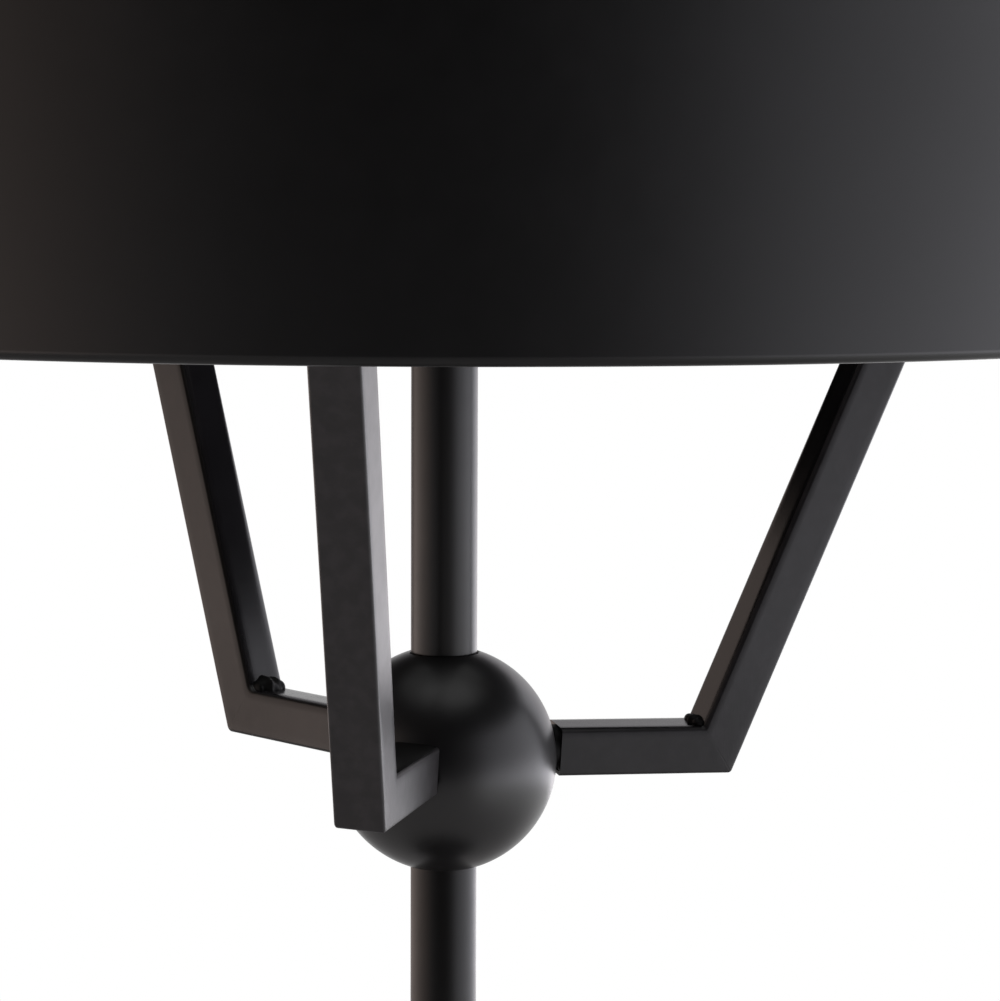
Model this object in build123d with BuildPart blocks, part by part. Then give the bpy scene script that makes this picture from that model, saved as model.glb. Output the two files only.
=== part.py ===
from build123d import *
from math import cos, radians, sin, tan
import os

# Three-light table lamp: a steel drum shade over a ball hub with three mitred square arms.
# All sizes are in millimetres. +Z is up, the lamp stands on Z = 0 and its stem is the Z axis.
# The front arm points along -Y, the other two stand 120 degrees to each side of it.

os.makedirs("parts", exist_ok=True)

# Clearances, all radial or per side
THREAD_GAP = 0.1
SLIP_GAP = 0.35
TURN_GAP = 0.4

# Heights of the main forms
BALL_HEIGHT = 380.0
RIM_ABOVE_BALL = 124.0
SHADE_HEIGHT = 215.0

# Ball hub
BALL_D = 65.0
HUB_CAVITY_R = 20.0
HUB_CAVITY_HALF = 17.0
HUB_CAVITY_FILLET = 4.0
STEM_SOCKET_DEPTH = 6.0

# Stem and the threaded rod inside it
STEM_D = 19.0
STEM_WALL = 1.2
ROD_D = 10.0
ROD_WALL = 1.25
ROD_BELOW_NUT = 2.0
ROD_IN_FINIAL = 13.0
ROD_WINDOW_W = 6.0
ROD_WINDOW_H = 20.0

# Square arms
ARM_SIDE = 14.0
ARM_WALL = 1.2
ARM_EDGE_R = 0.8
ARM_ABOVE_BALL = 2.8
ARM_CORNER_REACH = 86.0
ARM_SLANT = 20.8
WELD_LEG = 5.0
AZIMUTHS = {"front": 270.0, "right": 30.0, "left": 150.0}

# The arms stand a little off true on the lamp shown: the angle, and the azimuth they lean to
ARMS_LEAN = 2.1
LEAN_AZIMUTH = 14.0

# Joint between arm and ball
SPOT_FACE_R = 7.0
SPOT_FACE_DEPTH = 0.85
WASHER_R = 6.6
WASHER_T = 1.6
FOOT_PLUG_LEN = 10.0
NIPPLE_IN_CAVITY = 1.0

# Lamp holders on the arm tops
SEAT_R = 14.0
SEAT_T = 4.0
HOLDER_CAP_R = 17.5
HOLDER_CAP_H = 16.0
HOLDER_CAP_FLOOR_R = 11.0
HOLDER_CAP_FLARE_H = 11.0
HOLDER_BOSS_R = 8.0
HOLDER_BOSS_H = 8.0
HOLDER_WALL = 0.9
SHELL_START = 10.0
SHELL_TOP = 58.0
SHELL_BEAD = 1.0
INSULATOR_START = 12.0
INSULATOR_TOP = 34.0
SCREW_SHELL_R = 14.4
SCREW_SHELL_WALL = 0.5
SCREW_SHELL_TOP = 56.0
CONTACT_W = 6.0
CONTACT_T = 0.6
CONTACT_RISE = 3.0

# Switch keys of the lamp holders
SPINDLE_R = 1.8
SPINDLE_HEIGHT = 24.0
SPINDLE_DEPTH = 9.0
KEY_HUB_R = 4.2
KEY_HUB_LEN = 5.0
KEY_W = 15.0
KEY_LEN = 13.0
KEY_T = 4.4
KEY_EDGE_R = 1.4

# Bulbs, and the space that they leave under the spider
BULB_R = 30.0
BULB_GLASS_LEN = 78.0
BULB_GLASS_T = 1.0
BULB_CAP_LEN = 27.0
BULB_TIP_R = 4.0
BULB_TIP_LEN = 1.6
BULB_CONE_R = 9.4
BULB_CONE_LEN = 3.4
BULB_NECK_ANGLE = -32.0
BULB_TO_SPIDER = 20.6

# Leads inside the arms
LEAD_R = 1.9
LEAD_BEND_R = 5.0

# Shade and its spider
SHADE_D = 430.0
SHADE_WALL = 1.0
SHADE_FLANGE = 5.0
SHADE_LIP_R = 3.5
SPIDER_DROP = 18.0
SPIDER_HUB_R = 19.0
SPIDER_HUB_T = 4.0
SPOKE_W = 12.0
SPOKE_T = 3.0
SPOKE_TAB_H = 20.0

# Top of the stem
TOP_NUT_T = 4.0
NUT_FLATS = 16.0
STEM_CAP_T = 4.0
STEM_CAP_LIP = 1.5
STEM_CAP_SPIGOT = 10.0
FINIAL_FLANGE_R = 11.0
FINIAL_FLANGE_H = 4.0
FINIAL_NECK_R = 7.5
FINIAL_NECK_H = 4.0
FINIAL_BALL_R = 11.0
FINIAL_BORE_SPARE = 1.0

# Base
BASE_D = 240.0
COVER_WALL = 1.5
EDGE_HEIGHT = 20.0
CROWN_HEIGHT = 27.0
CROWN_R = 24.0
EDGE_FILLET = 6.0
FOOT_H = 3.0
FOOT_R = 9.0
FOOT_PEG_R = 3.4
FOOT_PEG_LEN = 6.0
FOOT_CIRCLE_R = 96.0
FOOT_COUNT = 4
PLATE_T = 1.2
WEIGHT_CLEAR = 0.9
WEIGHT_BOSS_R = 20.0
NUT_POCKET_R = 18.0
NUT_POCKET_H = 12.0
BASE_NUT_T = 5.0
BASE_WASHER_R = 14.0
BASE_WASHER_T = 1.6
SCREW_R = 2.0
SCREW_HEAD_R = 3.6
SCREW_HEAD_H = 2.0
SCREW_LEN = 9.0
SCREW_CIRCLE_R = 62.0
SCREW_COUNT = 3
COLLAR_R = 18.0
COLLAR_H = 18.0
COLLAR_NECK_R = 12.5
COLLAR_FOOT_H = 3.0
COLLAR_NECK_H = 5.0
COLLAR_SOCKET = 6.0

# Cord inlet at the back of the base
INLET_BORE_R = 3.6
INLET_R = 5.2
INLET_FLANGE_R = 7.4
INLET_FLANGE_T = 1.6
INLET_DEPTH = 8.0
INLET_HEIGHT = 10.5
CORD_GROOVE_H = 12.5

# Worked out from the values above
ball_r = BALL_D / 2
stem_r = STEM_D / 2
stem_bore_r = stem_r - STEM_WALL
rod_r = ROD_D / 2
thread_hole_r = rod_r + THREAD_GAP
nipple_bore_r = rod_r - ROD_WALL
stem_socket_r = stem_r + SLIP_GAP
stem_socket_floor = (ball_r**2 - stem_socket_r**2) ** 0.5 - STEM_SOCKET_DEPTH
shade_r = SHADE_D / 2
shade_in_r = shade_r - SHADE_WALL
shade_bottom = BALL_HEIGHT + RIM_ABOVE_BALL
shade_top = shade_bottom + SHADE_HEIGHT
spider_top = shade_top - SPIDER_DROP
spider_bottom = spider_top - SPIDER_HUB_T
top_nut_bottom = spider_bottom - TOP_NUT_T
stem_top = top_nut_bottom - STEM_CAP_T
rod_top = spider_top + ROD_IN_FINIAL
plate_top = FOOT_H + PLATE_T
cover_in_r = BASE_D / 2 - COVER_WALL
pocket_roof = plate_top + NUT_POCKET_H
washer_bottom = pocket_roof - BASE_WASHER_T
base_nut_bottom = washer_bottom - BASE_NUT_T
rod_bottom = base_nut_bottom - ROD_BELOW_NUT
collar_top = CROWN_HEIGHT + COLLAR_H
arm_z = BALL_HEIGHT + ARM_ABOVE_BALL
spot_face_x = ball_r - SPOT_FACE_DEPTH
arm_start = spot_face_x + WASHER_T
arm_in_side = ARM_SIDE - 2 * ARM_WALL
bulb_stack = INSULATOR_TOP + CONTACT_RISE + TURN_GAP + BULB_CAP_LEN + BULB_GLASS_LEN
arm_top = spider_bottom - BULB_TO_SPIDER - bulb_stack - SEAT_T
mitre_inset = ARM_SIDE * (1 - sin(radians(ARM_SLANT))) / cos(radians(ARM_SLANT))
mitre_reach = ARM_CORNER_REACH - mitre_inset / 2
holder_reach = mitre_reach + (arm_top - arm_z) * tan(radians(ARM_SLANT))
seat_top = arm_top + SEAT_T
shell_r = HOLDER_CAP_R - HOLDER_WALL - THREAD_GAP
insulator_r = shell_r - HOLDER_WALL - THREAD_GAP
spindle_z = seat_top + SPINDLE_HEIGHT
bulb_bottom = seat_top + INSULATOR_TOP + CONTACT_RISE + TURN_GAP
bulb_cap_top = bulb_bottom + BULB_CAP_LEN
bulb_cap_r = SCREW_SHELL_R - SCREW_SHELL_WALL - TURN_GAP


def outward(azimuth):
    """Horizontal direction from the stem along an arm."""
    return Vector(cos(radians(azimuth)), sin(radians(azimuth)), 0)


def across_plane(azimuth, reach, z, slant=90.0):
    """Plane square to a bar that leans slant degrees from upright, centred on it."""
    out = outward(azimuth)
    along = out * sin(radians(slant)) + Vector(0, 0, 1) * cos(radians(slant))
    return Plane(origin=out * reach + Vector(0, 0, z), x_dir=Vector(0, 0, 1).cross(out), z_dir=along)


def side_plane(azimuth, reach=0.0, z=0.0):
    """Upright plane through the stem and an arm: x runs outward, y runs up."""
    out = outward(azimuth)
    return Plane(origin=out * reach + Vector(0, 0, z), x_dir=out, z_dir=out.cross(Vector(0, 0, 1)))


def upright_axis(azimuth, reach):
    """Vertical axis at a place along an arm."""
    return Axis(outward(azimuth) * reach, (0, 0, 1))


def mitre_plane(azimuth):
    """Plane of the welded corner, facing from the level bar to the slanted one."""
    out = outward(azimuth)
    slanted = out * sin(radians(ARM_SLANT)) + Vector(0, 0, 1) * cos(radians(ARM_SLANT))
    return Plane(origin=out * mitre_reach + Vector(0, 0, arm_z), z_dir=out + slanted)


# Turns what is built upright about the ball's centre, to where the arms lean
lean_axis = outward(LEAN_AZIMUTH + 90)
lean = Pos(0, 0, BALL_HEIGHT) * Location((0, 0, 0), lean_axis, ARMS_LEAN) * Pos(0, 0, -BALL_HEIGHT)

# Base cover: a spun steel dish with a low crown, open underneath
with BuildPart() as base_cover:
    for wall, mode in ((0.0, Mode.ADD), (COVER_WALL, Mode.SUBTRACT)):
        with BuildSketch(Plane.XZ):
            with BuildLine():
                Polyline(
                    (0, FOOT_H),
                    (BASE_D / 2 - wall, FOOT_H),
                    (BASE_D / 2 - wall, EDGE_HEIGHT - wall),
                    (CROWN_R, CROWN_HEIGHT - wall),
                    (0, CROWN_HEIGHT - wall),
                    close=True,
                )
            make_face()
            fillet(vertices().group_by(Axis.X)[-1].sort_by(Axis.Y)[-1], EDGE_FILLET - wall)
        revolve(axis=Axis.Z, mode=mode)
    with BuildSketch(Plane.XY):
        Circle(thread_hole_r)
    extrude(amount=CROWN_HEIGHT + COVER_WALL, mode=Mode.SUBTRACT)
    with BuildSketch(Plane.XZ.offset(-BASE_D / 2 - COVER_WALL)):
        with Locations((0, INLET_HEIGHT)):
            Circle(INLET_R + THREAD_GAP)
    extrude(amount=INLET_DEPTH, mode=Mode.SUBTRACT)
base_cover.part.label = "base_cover"
export_step(base_cover.part, "parts/base_cover.step")

# Base weight: a cast iron disc that fills the cover, with a nut pocket and a groove for the cord
weight_r = cover_in_r - WEIGHT_CLEAR
weight_shoulder = EDGE_HEIGHT - COVER_WALL - WEIGHT_CLEAR
weight_crown = CROWN_HEIGHT - COVER_WALL - WEIGHT_CLEAR
with BuildPart() as base_weight:
    with BuildSketch(Plane.XZ):
        with BuildLine():
            Polyline(
                (0, plate_top),
                (weight_r, plate_top),
                (weight_r, weight_shoulder),
                (CROWN_R, weight_crown),
                (WEIGHT_BOSS_R, weight_crown),
                (WEIGHT_BOSS_R, CROWN_HEIGHT - COVER_WALL),
                (0, CROWN_HEIGHT - COVER_WALL),
                close=True,
            )
        make_face()
        fillet(vertices().group_by(Axis.X)[-1].sort_by(Axis.Y)[-1], EDGE_FILLET)
    revolve(axis=Axis.Z)
    with BuildSketch(Plane.XY):
        Circle(thread_hole_r)
    extrude(amount=CROWN_HEIGHT, mode=Mode.SUBTRACT)
    with BuildSketch(Plane.XY):
        Circle(NUT_POCKET_R)
    extrude(amount=pocket_roof, mode=Mode.SUBTRACT)
    with BuildSketch(Plane.XY.offset(plate_top)):
        with Locations((0, weight_r / 2)):
            Rectangle(2 * INLET_R + 2 * SLIP_GAP, weight_r)
    extrude(amount=CORD_GROOVE_H, mode=Mode.SUBTRACT)
    with BuildSketch(Plane.XY.offset(plate_top)):
        with PolarLocations(FOOT_CIRCLE_R, FOOT_COUNT, start_angle=45):
            Circle(FOOT_PEG_R + THREAD_GAP)
    extrude(amount=FOOT_PEG_LEN, mode=Mode.SUBTRACT)
    with BuildSketch(Plane.XY.offset(plate_top)):
        with PolarLocations(SCREW_CIRCLE_R, SCREW_COUNT, start_angle=30):
            Circle(SCREW_R + THREAD_GAP)
    extrude(amount=SCREW_LEN, mode=Mode.SUBTRACT)
base_weight.part.label = "base_weight"
export_step(base_weight.part, "parts/base_weight.step")

# Bottom plate: a sheet steel disc that closes the base
with BuildPart() as bottom_plate:
    with BuildSketch(Plane.XY.offset(FOOT_H)):
        Circle(cover_in_r - SLIP_GAP)
        with PolarLocations(FOOT_CIRCLE_R, FOOT_COUNT, start_angle=45):
            Circle(FOOT_PEG_R + THREAD_GAP, mode=Mode.SUBTRACT)
        with PolarLocations(SCREW_CIRCLE_R, SCREW_COUNT, start_angle=30):
            Circle(SCREW_R + THREAD_GAP, mode=Mode.SUBTRACT)
    extrude(amount=PLATE_T)
bottom_plate.part.label = "bottom_plate"
export_step(bottom_plate.part, "parts/bottom_plate.step")

# Feet: rubber buttons whose pegs pass through the plate into the weight
with BuildPart() as base_feet:
    with BuildSketch(Plane.XY):
        with PolarLocations(FOOT_CIRCLE_R, FOOT_COUNT, start_angle=45):
            Circle(FOOT_R)
    extrude(amount=FOOT_H)
    chamfer(edges().group_by(Axis.Z)[0], FOOT_H / 4)
    with BuildSketch(Plane.XY.offset(FOOT_H)):
        with PolarLocations(FOOT_CIRCLE_R, FOOT_COUNT, start_angle=45):
            Circle(FOOT_PEG_R)
    extrude(amount=FOOT_PEG_LEN)
base_feet.part.label = "base_feet"
export_step(base_feet.part, "parts/base_feet.step")

# Plate screws: pan heads under the plate, between the feet
with BuildPart() as plate_screws:
    with BuildSketch(Plane.XY.offset(FOOT_H - SCREW_HEAD_H)):
        with PolarLocations(SCREW_CIRCLE_R, SCREW_COUNT, start_angle=30):
            Circle(SCREW_HEAD_R)
    extrude(amount=SCREW_HEAD_H)
    fillet(edges().group_by(Axis.Z)[0], SCREW_HEAD_H / 3)
    with BuildSketch(Plane.XY.offset(FOOT_H)):
        with PolarLocations(SCREW_CIRCLE_R, SCREW_COUNT, start_angle=30):
            Circle(SCREW_R)
    extrude(amount=SCREW_LEN)
plate_screws.part.label = "plate_screws"
export_step(plate_screws.part, "parts/plate_screws.step")

# Base washer and nut: they clamp the weight, cover, collar and stem on the rod
with BuildPart() as base_washer:
    with BuildSketch(Plane.XY.offset(washer_bottom)):
        Circle(BASE_WASHER_R)
        Circle(thread_hole_r, mode=Mode.SUBTRACT)
    extrude(amount=BASE_WASHER_T)
base_washer.part.label = "base_washer"
export_step(base_washer.part, "parts/base_washer.step")

with BuildPart() as base_nut:
    with BuildSketch(Plane.XY.offset(base_nut_bottom)):
        RegularPolygon(NUT_FLATS / 2, 6, major_radius=False)
        Circle(thread_hole_r, mode=Mode.SUBTRACT)
    extrude(amount=BASE_NUT_T)
base_nut.part.label = "base_nut"
export_step(base_nut.part, "parts/base_nut.step")

# Cord inlet: a moulded bush in the back of the cover
with BuildPart() as cord_inlet:
    with BuildSketch(Plane.XZ.offset(-BASE_D / 2 - INLET_FLANGE_T)):
        with Locations((0, INLET_HEIGHT)):
            Circle(INLET_FLANGE_R)
    extrude(amount=INLET_FLANGE_T)
    fillet(edges().group_by(Axis.Y)[-1], INLET_FLANGE_T / 2)
    with BuildSketch(Plane.XZ.offset(-BASE_D / 2)):
        with Locations((0, INLET_HEIGHT)):
            Circle(INLET_R)
    extrude(amount=INLET_DEPTH)
    with BuildSketch(Plane.XZ.offset(-BASE_D / 2 - INLET_FLANGE_T)):
        with Locations((0, INLET_HEIGHT)):
            Circle(INLET_BORE_R)
    extrude(amount=INLET_FLANGE_T + INLET_DEPTH, mode=Mode.SUBTRACT)
cord_inlet.part.label = "cord_inlet"
export_step(cord_inlet.part, "parts/cord_inlet.step")

# Base collar: a turned foot that centres the stem on the cover
with BuildPart() as base_collar:
    with BuildSketch(Plane.XZ):
        with BuildLine():
            cove_start = (COLLAR_R, CROWN_HEIGHT + COLLAR_FOOT_H)
            cove_end = (COLLAR_NECK_R, collar_top - COLLAR_NECK_H)
            Line((thread_hole_r, CROWN_HEIGHT), (COLLAR_R, CROWN_HEIGHT))
            Line((COLLAR_R, CROWN_HEIGHT), cove_start)
            Bezier(cove_start, (COLLAR_NECK_R, cove_start[1]), cove_end)
            Polyline(
                cove_end,
                (COLLAR_NECK_R, collar_top),
                (stem_r + THREAD_GAP, collar_top),
                (stem_r + THREAD_GAP, collar_top - COLLAR_SOCKET),
                (thread_hole_r, collar_top - COLLAR_SOCKET),
                (thread_hole_r, CROWN_HEIGHT),
            )
        make_face()
    revolve(axis=Axis.Z)
base_collar.part.label = "base_collar"
export_step(base_collar.part, "parts/base_collar.step")

# Stem: one steel tube below the ball and one above it
lower_stem_bottom = collar_top - COLLAR_SOCKET
with BuildPart() as lower_stem:
    with BuildSketch(Plane.XY.offset(lower_stem_bottom)):
        Circle(stem_r)
        Circle(stem_bore_r, mode=Mode.SUBTRACT)
    extrude(amount=BALL_HEIGHT - stem_socket_floor - lower_stem_bottom)
lower_stem.part.label = "lower_stem"
export_step(lower_stem.part, "parts/lower_stem.step")

upper_stem_bottom = BALL_HEIGHT + stem_socket_floor
with BuildPart() as upper_stem:
    with BuildSketch(Plane.XY.offset(upper_stem_bottom)):
        Circle(stem_r)
        Circle(stem_bore_r, mode=Mode.SUBTRACT)
    extrude(amount=stem_top - upper_stem_bottom)
upper_stem.part.label = "upper_stem"
export_step(upper_stem.part, "parts/upper_stem.step")

# Lamp rod: a threaded pipe that ties the stack together, with a window for the leads in the ball
with BuildPart() as lamp_rod:
    with BuildSketch(Plane.XY.offset(rod_bottom)):
        Circle(rod_r)
        Circle(nipple_bore_r, mode=Mode.SUBTRACT)
    extrude(amount=rod_top - rod_bottom)
    with BuildSketch(Plane.XZ.offset(-ROD_D)):
        with Locations((0, BALL_HEIGHT)):
            SlotOverall(ROD_WINDOW_H, ROD_WINDOW_W, rotation=90)
    extrude(amount=ROD_D, mode=Mode.SUBTRACT)
lamp_rod.part.label = "lamp_rod"
export_step(lamp_rod.part, "parts/lamp_rod.step")

# Ball hub: a hollow steel ball with a socket for each stem tube and a tapped port for each arm
with BuildPart() as ball_hub:
    with BuildSketch(Plane.XZ):
        with Locations((0, BALL_HEIGHT)):
            Circle(ball_r)
        with Locations((-ball_r, BALL_HEIGHT)):
            Rectangle(2 * ball_r, 2 * BALL_D, mode=Mode.SUBTRACT)
    revolve(axis=Axis.Z)
    with BuildSketch(Plane.XZ):
        with BuildLine():
            Polyline(
                (0, BALL_HEIGHT - HUB_CAVITY_HALF),
                (HUB_CAVITY_R, BALL_HEIGHT - HUB_CAVITY_HALF),
                (HUB_CAVITY_R, BALL_HEIGHT + HUB_CAVITY_HALF),
                (0, BALL_HEIGHT + HUB_CAVITY_HALF),
                close=True,
            )
        make_face()
        fillet(vertices().group_by(Axis.X)[-1], HUB_CAVITY_FILLET)
    revolve(axis=Axis.Z, mode=Mode.SUBTRACT)
    with BuildSketch(Plane.XY.offset(BALL_HEIGHT - ball_r)):
        Circle(thread_hole_r)
    extrude(amount=BALL_D, mode=Mode.SUBTRACT)
    with BuildSketch(Plane.XY.offset(BALL_HEIGHT + stem_socket_floor)):
        Circle(stem_socket_r)
    extrude(amount=ball_r, mode=Mode.SUBTRACT)
    with BuildSketch(Plane.XY.offset(BALL_HEIGHT - stem_socket_floor)):
        Circle(stem_socket_r)
    extrude(amount=-ball_r, mode=Mode.SUBTRACT)
    for azimuth in AZIMUTHS.values():
        with BuildSketch(Plane(lean * across_plane(azimuth, spot_face_x, arm_z).location)):
            Circle(SPOT_FACE_R)
        extrude(amount=BALL_D, mode=Mode.SUBTRACT)
        with BuildSketch(Plane(lean * across_plane(azimuth, HUB_CAVITY_R / 2, arm_z).location)):
            Circle(thread_hole_r)
        extrude(amount=BALL_D, mode=Mode.SUBTRACT)
ball_hub.part.label = "ball_hub"
export_step(ball_hub.part, "parts/ball_hub.step")


# Arms: hollow square bar, a level foot and a slanted riser meeting in a welded mitre
def bar_section():
    """Section of the square tube, drawn in the current sketch."""
    RectangleRounded(ARM_SIDE, ARM_SIDE, ARM_EDGE_R)
    Rectangle(arm_in_side, arm_in_side, mode=Mode.SUBTRACT)


for side, azimuth in AZIMUTHS.items():
    with BuildPart() as arm_foot:
        with BuildSketch(across_plane(azimuth, arm_start, arm_z)):
            bar_section()
        extrude(amount=ARM_CORNER_REACH + ARM_SIDE - arm_start)
        split(bisect_by=mitre_plane(azimuth), keep=Keep.BOTTOM)
    arm_foot.part = lean * arm_foot.part
    arm_foot.part.label = f"arm_foot_{side}"
    export_step(arm_foot.part, f"parts/arm_foot_{side}.step")

    with BuildPart() as arm_riser:
        with BuildSketch(across_plane(azimuth, mitre_reach, arm_z, ARM_SLANT)):
            bar_section()
        extrude(amount=ARM_SIDE + (arm_top - arm_z) / cos(radians(ARM_SLANT)))
        with BuildSketch(across_plane(azimuth, mitre_reach, arm_z, ARM_SLANT)):
            bar_section()
        extrude(amount=-ARM_SIDE)
        split(bisect_by=mitre_plane(azimuth), keep=Keep.TOP)
        split(bisect_by=Plane.XY.offset(arm_top), keep=Keep.BOTTOM)
    arm_riser.part = lean * arm_riser.part
    arm_riser.part.label = f"arm_riser_{side}"
    export_step(arm_riser.part, f"parts/arm_riser_{side}.step")

# Corner welds: a hollow-faced bead in the inside corner of each arm
inner_corner = Vector(mitre_reach - mitre_inset / 2, arm_z + ARM_SIDE / 2)
bead_low = inner_corner - Vector(WELD_LEG, 0)
bead_high = inner_corner + Vector(sin(radians(ARM_SLANT)), cos(radians(ARM_SLANT))) * WELD_LEG
bead_middle = (bead_low + bead_high + inner_corner * 2) * 0.25
with BuildPart() as corner_welds:
    for azimuth in AZIMUTHS.values():
        with BuildSketch(side_plane(azimuth)):
            with BuildLine():
                Polyline(bead_high, inner_corner, bead_low)
                ThreePointArc(bead_low, bead_middle, bead_high)
            make_face()
        extrude(amount=ARM_SIDE / 2 - ARM_EDGE_R, both=True)
corner_welds.part = lean * corner_welds.part
corner_welds.part.label = "corner_welds"
export_step(corner_welds.part, "parts/corner_welds.step")

# Joint of arm and ball: a square plug brazed in the bar, a washer and a hollow nipple
with BuildPart() as foot_plugs:
    for azimuth in AZIMUTHS.values():
        with BuildSketch(across_plane(azimuth, arm_start, arm_z)):
            Rectangle(arm_in_side - 2 * THREAD_GAP, arm_in_side - 2 * THREAD_GAP)
            Circle(thread_hole_r, mode=Mode.SUBTRACT)
        extrude(amount=FOOT_PLUG_LEN)
foot_plugs.part = lean * foot_plugs.part
foot_plugs.part.label = "foot_plugs"
export_step(foot_plugs.part, "parts/foot_plugs.step")

with BuildPart() as hub_washers:
    for azimuth in AZIMUTHS.values():
        with BuildSketch(across_plane(azimuth, spot_face_x, arm_z)):
            Circle(WASHER_R)
            Circle(thread_hole_r, mode=Mode.SUBTRACT)
        extrude(amount=WASHER_T)
hub_washers.part = lean * hub_washers.part
hub_washers.part.label = "hub_washers"
export_step(hub_washers.part, "parts/hub_washers.step")

nipple_start = HUB_CAVITY_R - NIPPLE_IN_CAVITY
with BuildPart() as hub_nipples:
    for azimuth in AZIMUTHS.values():
        with BuildSketch(across_plane(azimuth, nipple_start, arm_z)):
            Circle(rod_r)
            Circle(nipple_bore_r, mode=Mode.SUBTRACT)
        extrude(amount=arm_start + FOOT_PLUG_LEN - nipple_start)
hub_nipples.part = lean * hub_nipples.part
hub_nipples.part.label = "hub_nipples"
export_step(hub_nipples.part, "parts/hub_nipples.step")

# Seats: round plates welded on the level-cut arm tops, tapped for the holder nipples
with BuildPart() as arm_seats:
    for azimuth in AZIMUTHS.values():
        with BuildSketch(across_plane(azimuth, holder_reach, arm_top, 0)):
            Circle(SEAT_R)
        extrude(amount=SEAT_T)
    chamfer(edges().filter_by(GeomType.CIRCLE).group_by(Axis.Z)[-1], SEAT_T / 4)
    for azimuth in AZIMUTHS.values():
        with BuildSketch(across_plane(azimuth, holder_reach, arm_top, 0)):
            Circle(thread_hole_r)
        extrude(amount=SEAT_T, mode=Mode.SUBTRACT)
arm_seats.part = lean * arm_seats.part
arm_seats.part.label = "arm_seats"
export_step(arm_seats.part, "parts/arm_seats.step")

with BuildPart() as holder_nipples:
    for azimuth in AZIMUTHS.values():
        with BuildSketch(across_plane(azimuth, holder_reach, arm_top, 0)):
            Circle(rod_r)
            Circle(nipple_bore_r, mode=Mode.SUBTRACT)
        extrude(amount=SEAT_T + HOLDER_BOSS_H)
holder_nipples.part = lean * holder_nipples.part
holder_nipples.part.label = "holder_nipples"
export_step(holder_nipples.part, "parts/holder_nipples.step")

# Holder caps: turned cups with a tapped boss that screws on the nipple
with BuildPart() as holder_caps:
    for azimuth in AZIMUTHS.values():
        with BuildSketch(side_plane(azimuth, holder_reach, seat_top)):
            for wall, mode in ((0.0, Mode.ADD), (HOLDER_WALL, Mode.SUBTRACT)):
                with BuildLine():
                    Line((0, HOLDER_CAP_H), (0, wall))
                    Line((0, wall), (HOLDER_CAP_FLOOR_R, wall))
                    Bezier(
                        (HOLDER_CAP_FLOOR_R, wall),
                        (HOLDER_CAP_R - wall, wall),
                        (HOLDER_CAP_R - wall, HOLDER_CAP_FLARE_H),
                    )
                    Line((HOLDER_CAP_R - wall, HOLDER_CAP_FLARE_H), (HOLDER_CAP_R - wall, HOLDER_CAP_H))
                    Line((HOLDER_CAP_R - wall, HOLDER_CAP_H), (0, HOLDER_CAP_H))
                make_face(mode=mode)
            with Locations((HOLDER_BOSS_R / 2, HOLDER_BOSS_H / 2)):
                Rectangle(HOLDER_BOSS_R, HOLDER_BOSS_H)
            with Locations((thread_hole_r / 2, HOLDER_CAP_H / 2)):
                Rectangle(thread_hole_r, HOLDER_CAP_H, mode=Mode.SUBTRACT)
        revolve(axis=upright_axis(azimuth, holder_reach))
holder_caps.part = lean * holder_caps.part
holder_caps.part.label = "holder_caps"
export_step(holder_caps.part, "parts/holder_caps.step")

# Holder shells: drawn tubes with a rolled bead at the mouth and a hole for the switch spindle
with BuildPart() as holder_shells:
    for azimuth in AZIMUTHS.values():
        with BuildSketch(side_plane(azimuth, holder_reach, seat_top)):
            with Locations((shell_r - HOLDER_WALL / 2, (SHELL_START + SHELL_TOP) / 2)):
                Rectangle(HOLDER_WALL, SHELL_TOP - SHELL_START)
            with Locations((shell_r, SHELL_TOP - SHELL_BEAD)):
                Circle(SHELL_BEAD)
        revolve(axis=upright_axis(azimuth, holder_reach))
        with BuildSketch(across_plane(azimuth, holder_reach, spindle_z)):
            Circle(SPINDLE_R + SLIP_GAP)
        extrude(amount=-2 * HOLDER_CAP_R, mode=Mode.SUBTRACT)
holder_shells.part = lean * holder_shells.part
holder_shells.part.label = "holder_shells"
export_step(holder_shells.part, "parts/holder_shells.step")

# Insulators: moulded blocks inside the shells that hold the contacts and the switch spindle
with BuildPart() as holder_insulators:
    for azimuth in AZIMUTHS.values():
        with BuildSketch(across_plane(azimuth, holder_reach, seat_top + INSULATOR_START, 0)):
            Circle(insulator_r)
        extrude(amount=INSULATOR_TOP - INSULATOR_START)
        with BuildSketch(across_plane(azimuth, holder_reach, spindle_z)):
            Circle(SPINDLE_R + SLIP_GAP)
        extrude(amount=-2 * HOLDER_CAP_R, mode=Mode.SUBTRACT)
holder_insulators.part = lean * holder_insulators.part
holder_insulators.part.label = "holder_insulators"
export_step(holder_insulators.part, "parts/holder_insulators.step")

# Screw shells: brass sleeves that take the bulb caps
with BuildPart() as screw_shells:
    for azimuth in AZIMUTHS.values():
        with BuildSketch(across_plane(azimuth, holder_reach, seat_top + INSULATOR_TOP, 0)):
            Circle(SCREW_SHELL_R)
            Circle(SCREW_SHELL_R - SCREW_SHELL_WALL, mode=Mode.SUBTRACT)
        extrude(amount=SCREW_SHELL_TOP - INSULATOR_TOP)
screw_shells.part = lean * screw_shells.part
screw_shells.part.label = "screw_shells"
export_step(screw_shells.part, "parts/screw_shells.step")

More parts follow.
